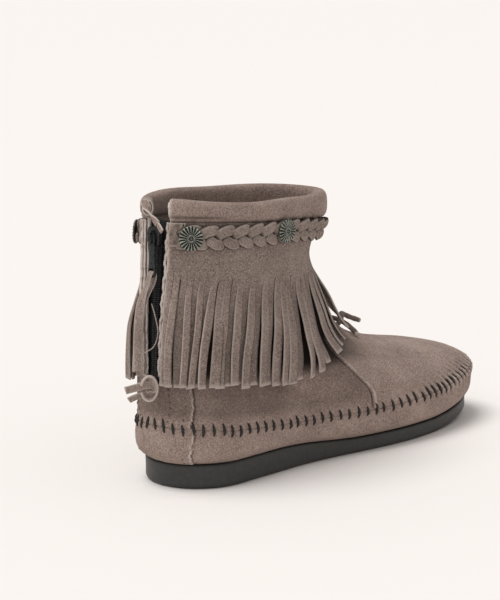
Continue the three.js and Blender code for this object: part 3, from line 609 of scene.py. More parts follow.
for name, route in LACE_ROUTES.items():
    path = in_frame(smooth_path(route, 40))
    steps = np.linspace(0, 1, 40)
    radius = LACE_RADIUS * (1 + 0.05 * np.sin(steps * 31))
    rings = round_rod(path, radius, 16)
    tone = np.where(steps > 0.97, 0.8, -0.45)[:, None] * np.ones(16)
    points, faces = rods(rings[None])
    lace = mesh_object(f"{name}_suede", points, faces, BOOT, fringe_suede, tone)
    length = np.linalg.norm(np.diff(path, axis=0), axis=1).sum() * MM
    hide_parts(name)
    print(name, "length", round(length * 1000, 1), "mm")

# %% [markdown]
# ## Upper
# One fine shell from the sole to the collar. On the plain form come: the ridge of the whipstitched
# seam with its puckers, the step where the quarters lie over the vamp, the heel strap's edge, and
# soft creases placed where the foot has bent the leather.

# %% Relief of the upper
QUARTER_EDGE = np.array([(0.43, 9.9), (0.39, 9.3), (0.352, 8.4), (0.325, 7.3), (0.303, 6.2), (0.286, 5.3),
                         (0.272, 4.4), (0.262, 3.7), (0.254, 3.0)])
STRAP_EDGE = np.array([(0.052, 7.2), (0.0495, 5.6), (0.047, 4.8), (0.0440, 4.1), (0.0395, 3.5), (0.0370, 3.1),
                       (0.0410, 2.85), (0.0405, 2.3), (0.0395, 1.6), (0.0365, 0.9), (0.0340, 0.2)])
HEM_HEIGHT = np.array([(0, 58), (0.1, 57), (0.2, 53), (0.35, 52), (0.42, 58), (0.46, 68), (0.5, 76)])
ROW_STEP = 8.7
EYELETS = [(0.484, 8.8), (0.516, 8.8)]
STITCH_PITCH = 6.5
# Creases: from (u, v) to (u, v), half width in mm, depth in mm (below 0 a ridge)
CREASES = [
    (0.335, 6.6, 0.31, 4.6, 5.0, 0.7), (0.355, 7.6, 0.39, 5.4, 6.0, 0.8), (0.42, 7.0, 0.40, 4.6, 7.0, 0.9),
    (0.45, 6.8, 0.47, 4.8, 5.0, -0.6), (0.17, 6.4, 0.20, 4.0, 8.0, 0.8), (0.10, 6.8, 0.085, 4.4, 6.0, 0.9),
    (0.02, 6.2, 0.015, 3.6, 5.0, 0.7), (0.24, 7.0, 0.25, 4.2, 8.0, -0.7), (0.12, 2.4, 0.16, 1.0, 6.0, 0.6),
    (0.30, 2.5, 0.28, 0.9, 7.0, 0.5), (0.62, 7.2, 0.60, 4.8, 6.0, 0.8), (0.66, 7.0, 0.70, 4.2, 7.0, 0.8),
    (0.55, 6.6, 0.53, 4.6, 6.0, 0.6), (0.83, 6.4, 0.80, 4.0, 8.0, 0.8), (0.93, 6.6, 0.95, 4.2, 6.0, 0.8),
    (0.38, 2.5, 0.41, 1.0, 6.0, 0.5), (0.58, 2.5, 0.56, 1.0, 6.0, 0.5), (0.74, 2.4, 0.70, 1.0, 7.0, 0.5),
]
# The whipstitches stand closer round the heel and the toe: (share of the way, stitches per pitch)
STITCH_SPANS = np.array([(0.09, 1.2), (0.24, 1.0), (0.34, 1.2), (0.24, 1.0), (0.09, 1.2)])
# How far a stitch's foot lies behind its head, in mm, by the share from the heel
WHIP_LEAN = np.array([(0, -1.6), (0.05, 0.2), (0.12, 2.2), (0.20, 2.9), (0.28, 3.0), (0.34, 1.8),
                      (0.42, 0.8), (0.5, 0)])
span_ends = np.concatenate([[0], np.cumsum(STITCH_SPANS[:, 0])])
turns_at = np.concatenate([[0], np.cumsum(STITCH_SPANS[:, 0] * STITCH_SPANS[:, 1])])
turns_at = turns_at * length_at(SEAM_ROW) / STITCH_PITCH
stitch_count = round(turns_at[-1])
turns_at = turns_at * stitch_count / turns_at[-1]


def edge_share(v, edge):
    """The share from the back at which a panel's edge, a table of (share, row), crosses the row v."""
    return looked_up(v, edge[::-1, ::-1])


def edge_offset(u, v, edge):
    """How far in mm a point lies behind a panel's edge, towards the heel, on either side."""
    return (edge_share(v, edge) - from_back(u)) * length_at(v)


def crease_depth(u, v, crease):
    """A soft trough along a line in (u, v): a bell across it, fading at its ends."""
    u0, v0, u1, v1, width, depth = crease
    t = np.clip((v - v0) / (v1 - v0), -0.3, 1.3)
    off = (u - lerp(u0, u1, t)) * length_at(v)
    fade = smooth(t, -0.25, 0.3) * (1 - smooth(t, 0.7, 1.25))
    return depth * bell(off, width) * fade


def upper_relief(u, v, z):
    """Distance that the leather stands off its plain form, and its tone, as sums of the features."""
    mm = (v - SEAM_ROW) * ROW_STEP
    side = from_back(u)
    toe = smooth(side, 0.27, 0.40)
    pull = np.cos(2 * np.pi * (np.interp(np.mod(u, 1), span_ends, turns_at) - 0.5))
    ridge = 0.7 * bell(mm, 2.2) - 0.45 * bell(mm, 0.45)
    pucker = -(0.18 + 1.0 * toe) * pull * bell(mm, 4.2 + 1.8 * toe)
    below = smooth(-mm, 0.0, 2.5) * (1 - smooth(-mm, 12, 20))
    ahead = -edge_offset(u, v, QUARTER_EDGE)
    on_upper = smooth(mm, 0.3, 1.6) * (1 - smooth(v, 9.6, 10.2))
    rim = (0.9 * bell(ahead - 1.3, 1.05) + 0.5 * smooth(ahead, 0, 0.8) * (1 - smooth(ahead, 6, 16))
           - 0.45 * bell(ahead + 0.6, 0.7) - 0.2 * bell(ahead - 3.1, 0.5)) * on_upper
    strap = edge_offset(u, v, STRAP_EDGE)
    strap_on = smooth(v, -0.1, 0.3) * (1 - smooth(v, 7.4, 8.2))
    ragged = strap + 0.2 * np.sin(v * 9.1) + 0.16 * np.sin(v * 23.0 + 1.0)
    strap_step = 0.95 * smooth(ragged, 0.0, 0.7) * (1 - smooth(strap, 16, 30)) * strap_on
    creases = sum(crease_depth(u, v, crease) for crease in CREASES)
    hem = looked_up(side, HEM_HEIGHT)
    # Painted shade: darker from the fringe's hem upwards, where the fringe shades the leather.
    under_fringe_shade = smooth(z, hem - 1, hem + 9) * smooth(z, 40, 50)
    out = ridge + pucker + 0.35 * below + rim + strap_step - creases
    # Painted shade: the quarter behind its edge and above the seam is darkened as the fringe's shadow.
    quarter = smooth(-ahead, -1, 3) * smooth(mm, 2, 9)
    # Lighter in an upright band on the outer side, above the seam.
    lighter_band = 0.22 * bell(side - 0.20, 0.035) * smooth(mm, 4, 12)
    # Painted shade in the seam's groove and just below its ridge, deeper at the toe.
    tone = (-0.4 * bell(mm, 0.35) * (0.45 + 0.55 * toe) - 0.08 * bell(mm + 1.0, 3.0)
            # At the quarter's edge: the pale cut edge, a painted shadow line just behind it, and a faint dark
            # line in the small groove 3 mm ahead.
            + (0.6 * bell(ahead - 1.1, 0.8) - 0.85 * bell(ahead + 0.35, 0.6)
               - 0.2 * bell(ahead - 3.1, 0.4)) * on_upper
            # At the heel strap's edge: the pale cut edge, and a painted shadow line on the leather just ahead
            # of it.
            + (0.85 * bell(ragged - 0.3, 0.5) - 0.8 * bell(ragged + 0.6, 0.5)) * strap_on
            # Painted shade in the creases' troughs and painted highlight on their ridges; painted highlight
            # on the puckers' ridges, mostly at the toe.
            - 0.12 * creases + (0.05 + 0.55 * toe) * np.maximum(-pull, 0) * bell(mm, 4.2)
            # Then the painted shadow of the fringe on the quarter and above the hem, the lighter band, and
            # painted shade along the foot where the leather meets the sole.
            - 0.42 * quarter + lighter_band - 0.25 * bell(v, 0.16) - 0.7 * under_fringe_shade)
    for eyelet_u, eyelet_v in EYELETS:
        away = np.hypot((u - eyelet_u) * length_at(eyelet_v), (v - eyelet_v) * ROW_STEP)
        out = out - 2.0 * bell(away, 1.7)
        # Painted shade in each eyelet's hole.
        tone = tone - 0.8 * bell(away, 1.9)
    return out, np.clip(tone, -1, 1)


# %% Upper shell
AROUND, SLOT_FOOT, BEND, HIDDEN_ROW = 600, 57.0, 0.06, 9.0


def slot_half(z):
    """Half the width of the zip's opening at a height: wider towards the collar."""
    return lerp(5.4, 9.3, (z - SLOT_FOOT) / (SHAFT_HEIGHT - SLOT_FOOT))


def upper_rows():
    """Row values: closest by the whipstitched seam, wider where the fringe hides the leather, and
    two at the foot of the zip."""
    even = np.concatenate([np.linspace(0, HIDDEN_ROW, 73), np.linspace(HIDDEN_ROW, TOP_ROW, 22)])
    seam = np.linspace(SEAM_ROW - 0.6, SEAM_ROW + 0.6, 26)
    heights = surface(0.0, even)[:, 2]
    foot = np.interp(SLOT_FOOT, heights, even)
    even = even[np.abs(even - foot) > 0.03]
    return np.unique(np.concatenate([even, seam, [foot - 0.01, foot + 0.01]]))


def thinned(count):
    """Steps of three rows, and of one row for what is left over."""
    return [1] * (count % 3) + [3] * (count // 3)


vs = upper_rows()
back_height = surface(0.0, vs)[:, 2]
opened = back_height > SLOT_FOOT
lip_at = np.where(opened, slot_half(back_height) / length_at(vs), 0.0)
lip_at = lip_at + opened * 0.0009 * np.sin(vs * 7.0) * np.sin(vs * 3.1)
t = np.linspace(0, 1, AROUND)
near = np.minimum(t, 1 - t)
u = np.where(near < BEND, lerp(lip_at[:, None], BEND, near / BEND), near)
u = np.where(t > 0.5, 1 - u, u)
v = np.broadcast_to(vs[:, None], u.shape)
plain_form = surface(u, v)
relief, upper_tone = upper_relief(u, v, plain_form[..., 2])
lip = np.minimum(u - u[:, :1], u[:, -1:] - u) * length_at(v)
raw = bell(lip, 0.9) * opened[:, None]
upper_tone = np.clip(upper_tone * (1 - raw) + 0.95 * raw, -1, 1)
outer = skin(u, v, relief * smooth(TOP_ROW - v, 0, 0.5) * (1 - raw))
last_closed = np.flatnonzero(~opened)[-1]
kept = np.cumsum([0, *thinned(last_closed), 1, *thinned(len(vs) - last_closed - 2)])
inner = skin(u[kept], v[kept], np.full(u[kept].shape, -LEATHER))


def welded(points, faces, first, second):
    """Makes each point numbered in second the same as its partner in first, and drops what is left
    over."""
    number = np.arange(len(points))
    number[second] = first
    faces = number[faces]
    used, renumbered = np.unique(faces, return_inverse=True)
    return points[used], renumbered.reshape(faces.shape), used


points, faces = shell(in_frame(outer), in_frame(inner), kept)
first = np.concatenate([np.flatnonzero(~opened) * AROUND, np.flatnonzero(~opened[kept]) * AROUND + u.size])
inside_end = np.isin(faces, np.concatenate([first, first + AROUND - 1])).all(axis=1)
points, faces, used = welded(points, faces[~inside_end], first, first + AROUND - 1)
tone = np.concatenate([upper_tone.ravel(), (0.95 * raw - 0.3 * (1 - raw))[kept].ravel()])[used]
upper = mesh_object("upper_suede_shell", points, faces, BOOT, upper_suede, tone)
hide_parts("upper")
print("upper faces", len(faces))

# %% [markdown]
# ## Whipstitches and seam rows
# Each whipstitch is one short thread over the ridge, its two ends sunk into the leather. All of
# them are one array: a bowed path for each, with a small lean and length of its own.

# %% Whipstitches
WHIP_HALF, WHIP_RADIUS, WHIP_HEIGHT, SEW_HALF, SEW_RADIUS = 3.9, 0.8, 0.35, 0.95, 0.28
rng = np.random.default_rng(7)


def tubes(paths, hint, radius, sides):
    """Rings of round rods along many paths (k, n, 3). The hint is any direction off the paths."""
    ahead = unit(np.gradient(paths, axis=1))
    across = unit(np.cross(hint, ahead))
    angle = angles(sides, 0)[:, None]
    ring = np.cos(angle) * across[:, :, None] + np.sin(angle) * np.cross(ahead, across)[:, :, None]
    return paths[:, :, None] + np.broadcast_to(radius, paths.shape[1])[:, None, None] * ring


def stitches(u0, v0, lean, half_mm, radius, height, base=0.0, power=2.4, count=11, sides=8, relief_of=None):
    """Threads over the leather: at (u0, v0), each half_mm long either way, leaning round by
    lean mm from end to end. The height is an arch that dips under the surface at both ends, over the
    relief where one is given, and the radius tapers towards an end, which makes a spindle."""
    t = np.linspace(-1, 1, count)
    v = v0[:, None] + t[None, :] * half_mm[:, None] / ROW_STEP
    u = u0[:, None] + 0.5 * t[None, :] * lean[:, None] / length_at(v0)[:, None]
    out = base + height * (1 - np.abs(t) ** 3)[None, :] - (0.8 * radius) * (np.abs(t) ** 6)[None, :]
    out = out + relief_of(u, v) if relief_of else out
    path = in_frame(skin(u, v, np.broadcast_to(out, u.shape)))
    return tubes(path, normal(u, v), radius * (1 - 0.8 * np.abs(t) ** power), sides)


u0 = np.interp(np.arange(stitch_count) + 0.5 + 0.06 * rng.standard_normal(stitch_count), turns_at, span_ends)
toe_share = smooth(from_back(u0), 0.27, 0.40)
half = WHIP_HALF + 0.2 * toe_share + 0.3 * rng.standard_normal(stitch_count)
v0 = np.full(stitch_count, float(SEAM_ROW)) + 0.05 * rng.standard_normal(stitch_count)
lean = looked_up(from_back(u0), WHIP_LEAN) * np.where(u0 < 0.5, 1, -1)
lean = lean + 0.4 * rng.standard_normal(stitch_count)
on_leather = lambda u, v: upper_relief(u, v, np.full(u.shape, 30.0))[0]
height = (WHIP_HEIGHT + 0.5 * toe_share)[:, None]
points, faces = rods(stitches(u0, v0, lean, half, WHIP_RADIUS, height, relief_of=on_leather))
whip = mesh_object("whipstitch_thread", points, faces, BOOT, thread)
print("whipstitches", stitch_count)


# %% Seam rows beside the heel strap's edge
def row_of_stitches(edge, back_mm, v_low, v_high, pitch=3.2):
    """Small stitches along a panel's edge, set back from it, on both sides of the boot."""
    count = int((v_high - v_low) * ROW_STEP / pitch)
    v = np.linspace(v_low, v_high, count)
    side = edge_share(v, edge) - back_mm / length_at(v)
    return np.concatenate([side, 1 - side]), np.concatenate([v, v])


seams = [row_of_stitches(STRAP_EDGE, 4.2, 0.5, 4.4), row_of_stitches(STRAP_EDGE, 12.5, 3.4, 7.1)]
u0, v0 = (np.concatenate(parts) for parts in zip(*seams))
sewing = stitches(u0, v0, np.zeros(len(u0)), np.full(len(u0), SEW_HALF), SEW_RADIUS, 0.2, 0.85, sides=6)
points, faces = rods(sewing)
rows = mesh_object("seam_row_thread", points, faces, BOOT, fringe_suede, np.full(len(points), -0.55))

# %% [markdown]
# ## Sole and insole
# The sole is a closed loft of the outline: a rounded lower edge, a straight side and a small bead
# under the leather. Its underside is plain.

# %% Outsole
def sole_ring(inset, height, count=150):
    """The sole's outline drawn in by inset, at the heights given."""
    row = dict(grown_sole(0, None), heel=HEEL_HALF - inset, outer=BALL_OUTER - inset,
               inner=BALL_INNER - inset, back=inset, front=SOLE_LENGTH - inset, height=lambda s, x: height(x))
    s = (1 - np.cos(np.pi * np.arange(count + 1) / count)) / 2
    return np.vstack([contour(row, -1, s), contour(row, 1, s[1:-1][::-1])])


def stack(rings):
    """Rings (r, n, 3) that mirror about their first point, closed below and above straight across."""
    length, size, _ = rings.shape
    j = np.arange(size // 2)
    cap = np.stack([j, j + 1, (size - j - 1) % size, (size - j) % size], axis=-1)
    faces = np.vstack([grid_faces(length, size, loop=True), cap[:, ::-1], cap + (length - 1) * size])
    points = rings.reshape(-1, 3)
    return points, outward(points, faces)


def loft_profile():
    """(inset, rise, from_top) round the sole's edge: a quarter round below, a straight side with one
    faint hollow, and a soft shoulder on top."""
    angle = np.linspace(0, np.pi / 2, 8)
    low = [(EDGE_ROUND * (1 - math.sin(a)), EDGE_ROUND * (1 - math.cos(a)), False) for a in angle]
    side = [(0.10 * math.sin(t * math.pi), t, None) for t in np.linspace(0.1, 0.9, 7)]
    high = [(0.0, -1.6, True), (0.05, -0.8, True), (0.35, -0.25, True), (0.9, 0.0, True)]
    return low + side + high


def profile_ring(inset, rise, from_top):
    if from_top is None:
        return sole_ring(inset, lambda x: lerp(sole_bottom(x) + EDGE_ROUND, sole_top(x) - 1.6, rise))
    return sole_ring(inset, lambda x: (sole_top(x) if from_top else sole_bottom(x)) + rise)


rings = np.stack([profile_ring(*line) for line in loft_profile()])
points, faces = stack(in_frame(rings))
sole = mesh_object("outsole_rubber", points, faces, BOOT, rubber)
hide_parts("outsole")

# %% Insole
INSOLE_INSET, INSOLE_THICKNESS = TUCK + LEATHER + 2, 2.5
rings = np.stack([
    sole_ring(INSOLE_INSET, lambda x: sole_top(x) + GAP),
    sole_ring(INSOLE_INSET - 0.2, lambda x: sole_top(x) + GAP + 1.2),
    sole_ring(INSOLE_INSET, lambda x: sole_top(x) + GAP + INSOLE_THICKNESS - 0.3),
    sole_ring(INSOLE_INSET + 0.6, lambda x: sole_top(x) + GAP + INSOLE_THICKNESS),
])
points, faces = stack(in_frame(rings))
insole = mesh_object("insole_board", points, faces, BOOT, board)
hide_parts("insole")

# %% [markdown]
# ## Collar
# A padded roll of the same suede, folded over and sewn under its lower edge. It is modelled as a
# rounded section carried along the shaft's top edge, with a slow swell and sag so that it looks
# filled by hand. Its cut ends at the zip show the pale edge of the leather.

# %% Collar roll
COLLAR_BACK, COLLAR_FRONT, COLLAR_DEPTH, COLLAR_PROUD, EDGE_SHARE = 10.5, 15.0, 8.0, 4.0, 0.034


def collar_rings(u, sides=44):
    """Sections of the roll: a rounded oblong, turned level, that swells slowly along its length, with
    the sewn crease pressed in low on its outer face near the zip."""
    base, out = surface(u, TOP_ROW), normal(u, np.full(len(u), TOP_ROW), level=True)
    angle = angles(sides)
    wide, tall = rounded(np.cos(angle), 0.72), rounded(np.sin(angle), 0.72)
    swell = 0.3 * np.sin(u * 31) + 0.2 * np.sin(u * 57 + 1.3)
    height = lerp(COLLAR_BACK, COLLAR_FRONT, np.sin(np.pi * u) ** 2)[:, None]
    dip = (1.7 * bell(u - 0.21, 0.09) + 1.3 * bell(u - 0.36, 0.06) - 1.2 * bell(u - 0.04, 0.05)
           - 1.4 * bell(u - 0.62, 0.14) - 2.3 * bell(u - 0.84, 0.10))[:, None]
    across = COLLAR_PROUD - COLLAR_DEPTH / 2 + (COLLAR_DEPTH / 2 + swell[:, None]) * wide
    level = (1 + tall) / 2
    rise = height * level - dip * level - 0.5 * (1 - level) ** 3
    sewn = bell(rise - 2.4, 0.7) * (across > 1.0) * (1 - smooth(from_back(u), 0.09, 0.16))[:, None]
    points = base[:, None] + out[:, None] * (across - 0.7 * sewn)[..., None]
    return points + np.array([0, 0, 1]) * rise[..., None], sewn


u = np.linspace(EDGE_SHARE, 1 - EDGE_SHARE, 300)
rings, sewn = collar_rings(u)
ends = np.minimum(u - u[0], u[-1] - u) * length_at(TOP_ROW)
shrink = np.sqrt(np.clip(ends / 0.6, 0, 1) * (2 - np.clip(ends / 0.6, 0, 1)))
middle = rings.mean(axis=1, keepdims=True)
rings = middle + (rings - middle) * (0.93 + 0.07 * shrink)[:, None, None]
# Pale cut ends at the zip; painted shade in the sewn crease.
tone = np.where(u < 0.5, 0.9, 0.45)[:, None] * bell(ends, 0.8)[:, None] - 0.6 * sewn - 0.1
points, faces = rods(in_frame(rings)[None])
collar = mesh_object("collar_padded_suede", points, faces, BOOT, upper_suede, tone)
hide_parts("collar_roll")


# %% The rolled leather's edge, seen as a spiral in each end of the collar
def spiral_edge(u, turns, steps=70):
    """A flat strip wound inwards: its radius falls evenly with its angle, in the roll's section."""
    base, out = surface(u, TOP_ROW), normal(u, float(TOP_ROW), level=True)
    along = np.cross(out, [0, 0, 1.0]) * (1 if u > 0.5 else -1)
    t = np.linspace(0, 1, steps)
    angle = turns * 2 * np.pi * t + 0.4
    radius = lerp(4.4, 0.9, t)
    y, z = radius * 0.82 * np.cos(angle), radius * 1.08 * np.sin(angle)
    centre = base + out * (COLLAR_PROUD - COLLAR_DEPTH / 2) + np.array([0, 0, COLLAR_BACK / 2])
    return centre + out * y[:, None] + np.array([0, 0, 1.0]) * z[:, None] - along * 0.15


def flat_strip(path, width, thickness, wide_hint, sides=14):
    """Rings of a flat strip with round edges, whose width lies along the hint at each step."""
    ahead = unit(np.gradient(path, axis=0))
    hint = np.broadcast_to(np.asarray(wide_hint, float), path.shape)
    a = unit(hint - ahead * np.sum(hint * ahead, axis=-1, keepdims=True))
    b = np.cross(ahead, a)
    angle = angles(sides)
    share = rounded(np.cos(angle), 0.5)
    thick = rounded(np.sin(angle), 0.7) * thickness / 2
    half = np.broadcast_to(width, len(path))[:, None] / 2
    rings = path[:, None] + a[:, None] * (half * share)[..., None] + b[:, None] * thick[:, None]
    return rings, np.broadcast_to(np.abs(share) ** 6, rings.shape[:2])


spirals = []
for u_end, turns in ((EDGE_SHARE, 1.9), (1 - EDGE_SHARE, 2.2)):
    path = in_frame(spiral_edge(u_end, turns))
    along_roll = np.cross(normal(u_end, float(TOP_ROW), level=True), [0, 0, 1.0])
    spirals.append(flat_strip(path, 1.5, 0.75, along_roll)[0])
points, faces = rods(np.stack(spirals))
curl = mesh_object("collar_end_curl_suede", points, faces, BOOT, upper_suede, np.full(len(points), 0.9))

# %% Facings: narrow raw strips inside the opening, and the collar's loose inner end
facings, tones = [], []
for hand, back_mm, out_mm in ((1, 1.0, -0.6), (-1, 1.0, -0.6), (-1, 0.2, 1.2), (-1, -0.5, 2.6)):
    v = np.linspace(6.2, 15.8, 70)
    uneven = 0.35 * np.sin(v * 5.1 + back_mm) + 0.2 * np.sin(v * 13)
    along = slot_half(surface(np.zeros(70), v)[:, 2]) - back_mm + uneven
    path = in_frame(skin(hand * along / length_at(v), v, np.full(70, out_mm)))
    rings, edge = flat_strip(path, 1.7, 0.8, (0, 1.0, 0))
    facings.append(rings)
    tones.append(np.full(edge.shape, 0.75) - 0.5 * bell(np.sin(v * 3.3 + hand)[:, None] - 0.6, 0.2))
loose = [(-0.6, 7.0, 154.6), (-1.6, 4.0, 150.5), (-2.6, -1.0, 146.5), (-2.8, -5.0, 143.6),
         (-2.6, -8.2, 139.6)]
rings, edge = flat_strip(in_frame(smooth_path(loose, 70)), 4.2, 1.2, (0, 0.7, 0.7))
facings.append(rings)
tones.append(0.85 * edge)
points, faces = rods(np.stack(facings))
facing = mesh_object("zip_facing_suede", points, faces, BOOT, upper_suede, np.stack(tones))

# %% [markdown]
# ## Fringe
# The fringe is one band of suede sewn under the braid and slit into strips from below. A strip is
# limp: it drops straight down until the leather behind it slopes out and carries it. For each strip
# that path is found by cutting the boot level at many heights and looking how far out it reaches.

# %% How each strip falls
BAND_THICKNESS, STRIP_WIDTH, STRIP_LENGTH, STRIP_FLARE = 1.5, 4.3, 65.5, 3.2
BAND_OUT = GAP + 2 * SLACK
SHAFT_LENGTH = length_at(13)
FALL_STEP, LEVELS, SLIT_TOP = 2.0, 36, SHAFT_HEIGHT * 0.83
# How far the tips drift towards the heel, and how long the strips are, by the share from the zip
LEAN_TABLE = np.array([(0.04, -7), (0.07, -9.5), (0.105, -12.5), (0.135, -16.5), (0.16, -15), (0.21, -15.5),
                       (0.25, -14.5), (0.285, -10.5), (0.31, -9.5), (0.36, -6), (0.40, -4), (0.5, 0)])
LENGTH_TABLE = np.array([(0.03, 63.2), (0.2, 64.2), (0.30, 65.5), (0.36, 64.0), (0.40, 59.5), (0.44, 54.0),
                         (0.47, 52.0), (0.5, 50.0)])


def level_cuts(heights, count=192):
    """The boot's outline at each height: v is found by halving, for all points at once."""
    u = np.broadcast_to(np.arange(count) / count, (len(heights), count))
    low, high = np.zeros(u.shape), np.full(u.shape, float(TOP_ROW))
    for _ in range(18):
        middle = (low + high) / 2
        under = surface(u, middle)[..., 2] < heights[:, None]
        low, high = np.where(under, middle, low), np.where(under, high, middle)
    return surface(u, low)[..., :2]


def reach(outline, start, direction):
    """How far a level ray from each start goes before it leaves the outline."""
    a, b = outline[None], np.roll(outline, -1, axis=0)[None]
    e = b - a
    d, s = direction[:, None], start[:, None]
    cross = d[..., 0] * e[..., 1] - d[..., 1] * e[..., 0]
    cross = np.where(np.abs(cross) < 1e-9, 1e-9, cross)
    t = ((a - s)[..., 0] * e[..., 1] - (a - s)[..., 1] * e[..., 0]) / cross
    k = ((a - s)[..., 0] * d[..., 1] - (a - s)[..., 1] * d[..., 0]) / cross
    return np.where((k >= 0) & (k <= 1) & (t > 0), t, 0).max(axis=1)


def fall_paths(u, lean, length, count=26):
    """Centre lines (strips, count, 3) on the leather, each of its own length."""
    start = surface(u, SLIT_ROW + 0.25)
    out = normal(u, np.full(len(u), SLIT_ROW), level=True)
    heights = SLIT_TOP - FALL_STEP * np.arange(LEVELS)
    cuts = level_cuts(heights)
    path, far = [start], np.zeros(len(u))
    for z, outline in zip(heights, cuts):
        share = np.clip((start[:, 2] - z) / STRIP_LENGTH, 0, 1)
        at = start + np.stack([lean * (1 - (1 - share) ** 1.7), 0 * lean, 0 * lean], axis=-1)
        below = z < start[:, 2] - FALL_STEP / 2
        far = np.where(below, np.maximum(far, reach(outline, at[:, :2], out[:, :2])), far)
        point = at + out * far[:, None]
        point[:, 2] = np.where(below, z, start[:, 2])
        path.append(np.where(below[:, None], point, start))
    path = np.stack(path, axis=1)
    reached = np.cumsum(np.linalg.norm(np.diff(path, axis=1, prepend=path[:, :1]), axis=2), axis=1)
    even = np.linspace(0, 1, count)[None] * length[:, None]
    each = [[np.interp(even[i], reached[i], path[i, :, k]) for k in range(3)] for i in range(len(u))]
    return np.transpose(np.array(each), (0, 2, 1)), out


# %% Fringe strips
SLIT_DROP, FOOT_ROW = 4.6, 5


def strip_rings(u, lean, length, stand, top, foot, twist, cup, sway, sides=14):
    """Flat strips with rounded edges: a section across the strip that widens from top to foot, is
    turned by the twist and bowed by the cup, and stands further off below its slit's start."""
    path, out = fall_paths(u, lean, length)
    count = path.shape[1]
    share = np.linspace(0, 1, count)[None, :]
    free = np.clip((share * length[:, None] - SLIT_DROP) / (length[:, None] - SLIT_DROP), 0, 1)
    ahead = unit(np.gradient(path, axis=1))
    across = np.stack([-out[:, 1], out[:, 0], 0 * out[:, 0]], axis=-1)[:, None] * np.ones((1, count, 1))
    across = unit(across - ahead * np.sum(across * ahead, axis=-1, keepdims=True))
    away = np.cross(across, ahead)
    away = away * np.sign(np.sum(away * out[:, None], axis=-1, keepdims=True))
    turn = twist[:, None] * smooth(free, 0.1, 1)
    a = np.cos(turn)[..., None] * across + np.sin(turn)[..., None] * away
    b = np.cos(turn)[..., None] * away - np.sin(turn)[..., None] * across
    width = lerp(top[:, None], foot[:, None], smooth(free, 0, 0.5))
    off = BAND_OUT - 0.03 + stand[:, None] * smooth(free, 0.0, 0.55) + 0.7 * np.sin(np.pi * free)
    lift = np.abs(np.sin(turn)) * width / 2
    drift = 0.6 * free * np.sin(2 * np.pi * (0.8 * free + sway[:, None]))
    centre = path + away * (off + lift + BAND_THICKNESS / 2)[..., None] + across * drift[..., None]
    angle = angles(sides)
    flat, thick = rounded(np.cos(angle), 0.45), rounded(np.sin(angle), 0.6)
    w = width[..., None] / 2 * flat
    t = (BAND_THICKNESS / 2 - 0.03) * thick + (cup[:, None] * free)[..., None] * (flat**2)
    rings = centre[:, :, None] + a[:, :, None] * w[..., None] + b[:, :, None] * t[..., None]
    return rings, flat, free


# The strips are narrowest by the zip, where the leather was slit first: shares of their middles
HALF_ROUND = np.array([0.041, 0.054, 0.067, 0.080, 0.092, 0.105, 0.119, 0.133, 0.1475, 0.162, 0.178,
                       0.194, 0.210, 0.2265, 0.243, 0.259, 0.275, 0.291, 0.308, 0.325, 0.343, 0.360,
                       0.378, 0.397, 0.417, 0.437, 0.458, 0.479, 0.5])
HANG_BEHIND = [2, 4, 6, 10, 12, 14, 16, 20, 23, 26]
u = np.concatenate([HALF_ROUND, 1 - HALF_ROUND[-2::-1]])
count = len(u)
place = np.minimum(np.arange(count), count - 1 - np.arange(count))
side = from_back(u)
front = smooth(side, 0.36, 0.46)
lean = looked_up(side, LEAN_TABLE) * np.where(u < 0.5, 1.0, 0.6)
lean = lean + 0.8 * rng.standard_normal(count) * (1 - 0.7 * front)
length = looked_up(side, LENGTH_TABLE) + 0.7 * rng.standard_normal(count)
behind = np.isin(place, HANG_BEHIND)
stand = (STRIP_FLARE + np.where(behind, -1.3, 0.7) + 0.3 * rng.standard_normal(count)) * (1 - 0.35 * front)
top = np.gradient(u) * length_at(SLIT_ROW) - 0.15
foot_round = length_at(FOOT_ROW)
room = np.gradient(u + lean / foot_round) * foot_round
foot = np.clip(0.72 * room, STRIP_WIDTH - 0.4, 7.5) + 2.4 * smooth(side, 0.43, 0.47)
foot = foot + 0.2 * rng.standard_normal(count)
rings, flat, free = strip_rings(u, lean, length, stand, top, foot, 0.2 * rng.standard_normal(count),
                                0.3 * rng.standard_normal(count), rng.random(count))
# The strip's side towards the heel is pale: the cut edge's own colour, made stronger as a painted highlight.
# Its side towards the toe is painted shade, as in the gaps between strips. Both start where the slit opens.
rear = np.where(u < 0.5, -1.0, 1.0)[:, None, None] * flat
opens = np.clip(0.16 * rng.standard_normal(count), 0, 0.4)[:, None, None]
opened_here = smooth(free[..., None], opens, opens + 0.12)
tone = (0.6 * smooth(rear, 0.82, 1) - 0.75 * smooth(-rear, 0.70, 0.95)) * opened_here
# Painted shade on the strips that hang behind, darkest just below their tops.
tone = tone - 0.28 * (behind[:, None] * smooth(free, 0.02, 0.25))[..., None] * (1 - 0.55 * free[..., None])
tone[:, -1] = 0.75
points, faces = rods(in_frame(rings))
strips = mesh_object("fringe_strips_suede", points, faces, BOOT, fringe_suede, tone)
print("strips", count)

# %% Fringe band
LIP_SHARE, BAND_TOP, SLIT_ROWS = 0.0335, 15.9, SLIT_DROP / 9.0


def band_patch(u, v, out, thickness, extra=0.0):
    """A patch of leather over the shaft, as an outer and an inner grid."""
    return skin(u, v, out + thickness + extra + np.zeros(u.shape)), skin(u, v, out + np.zeros(u.shape))


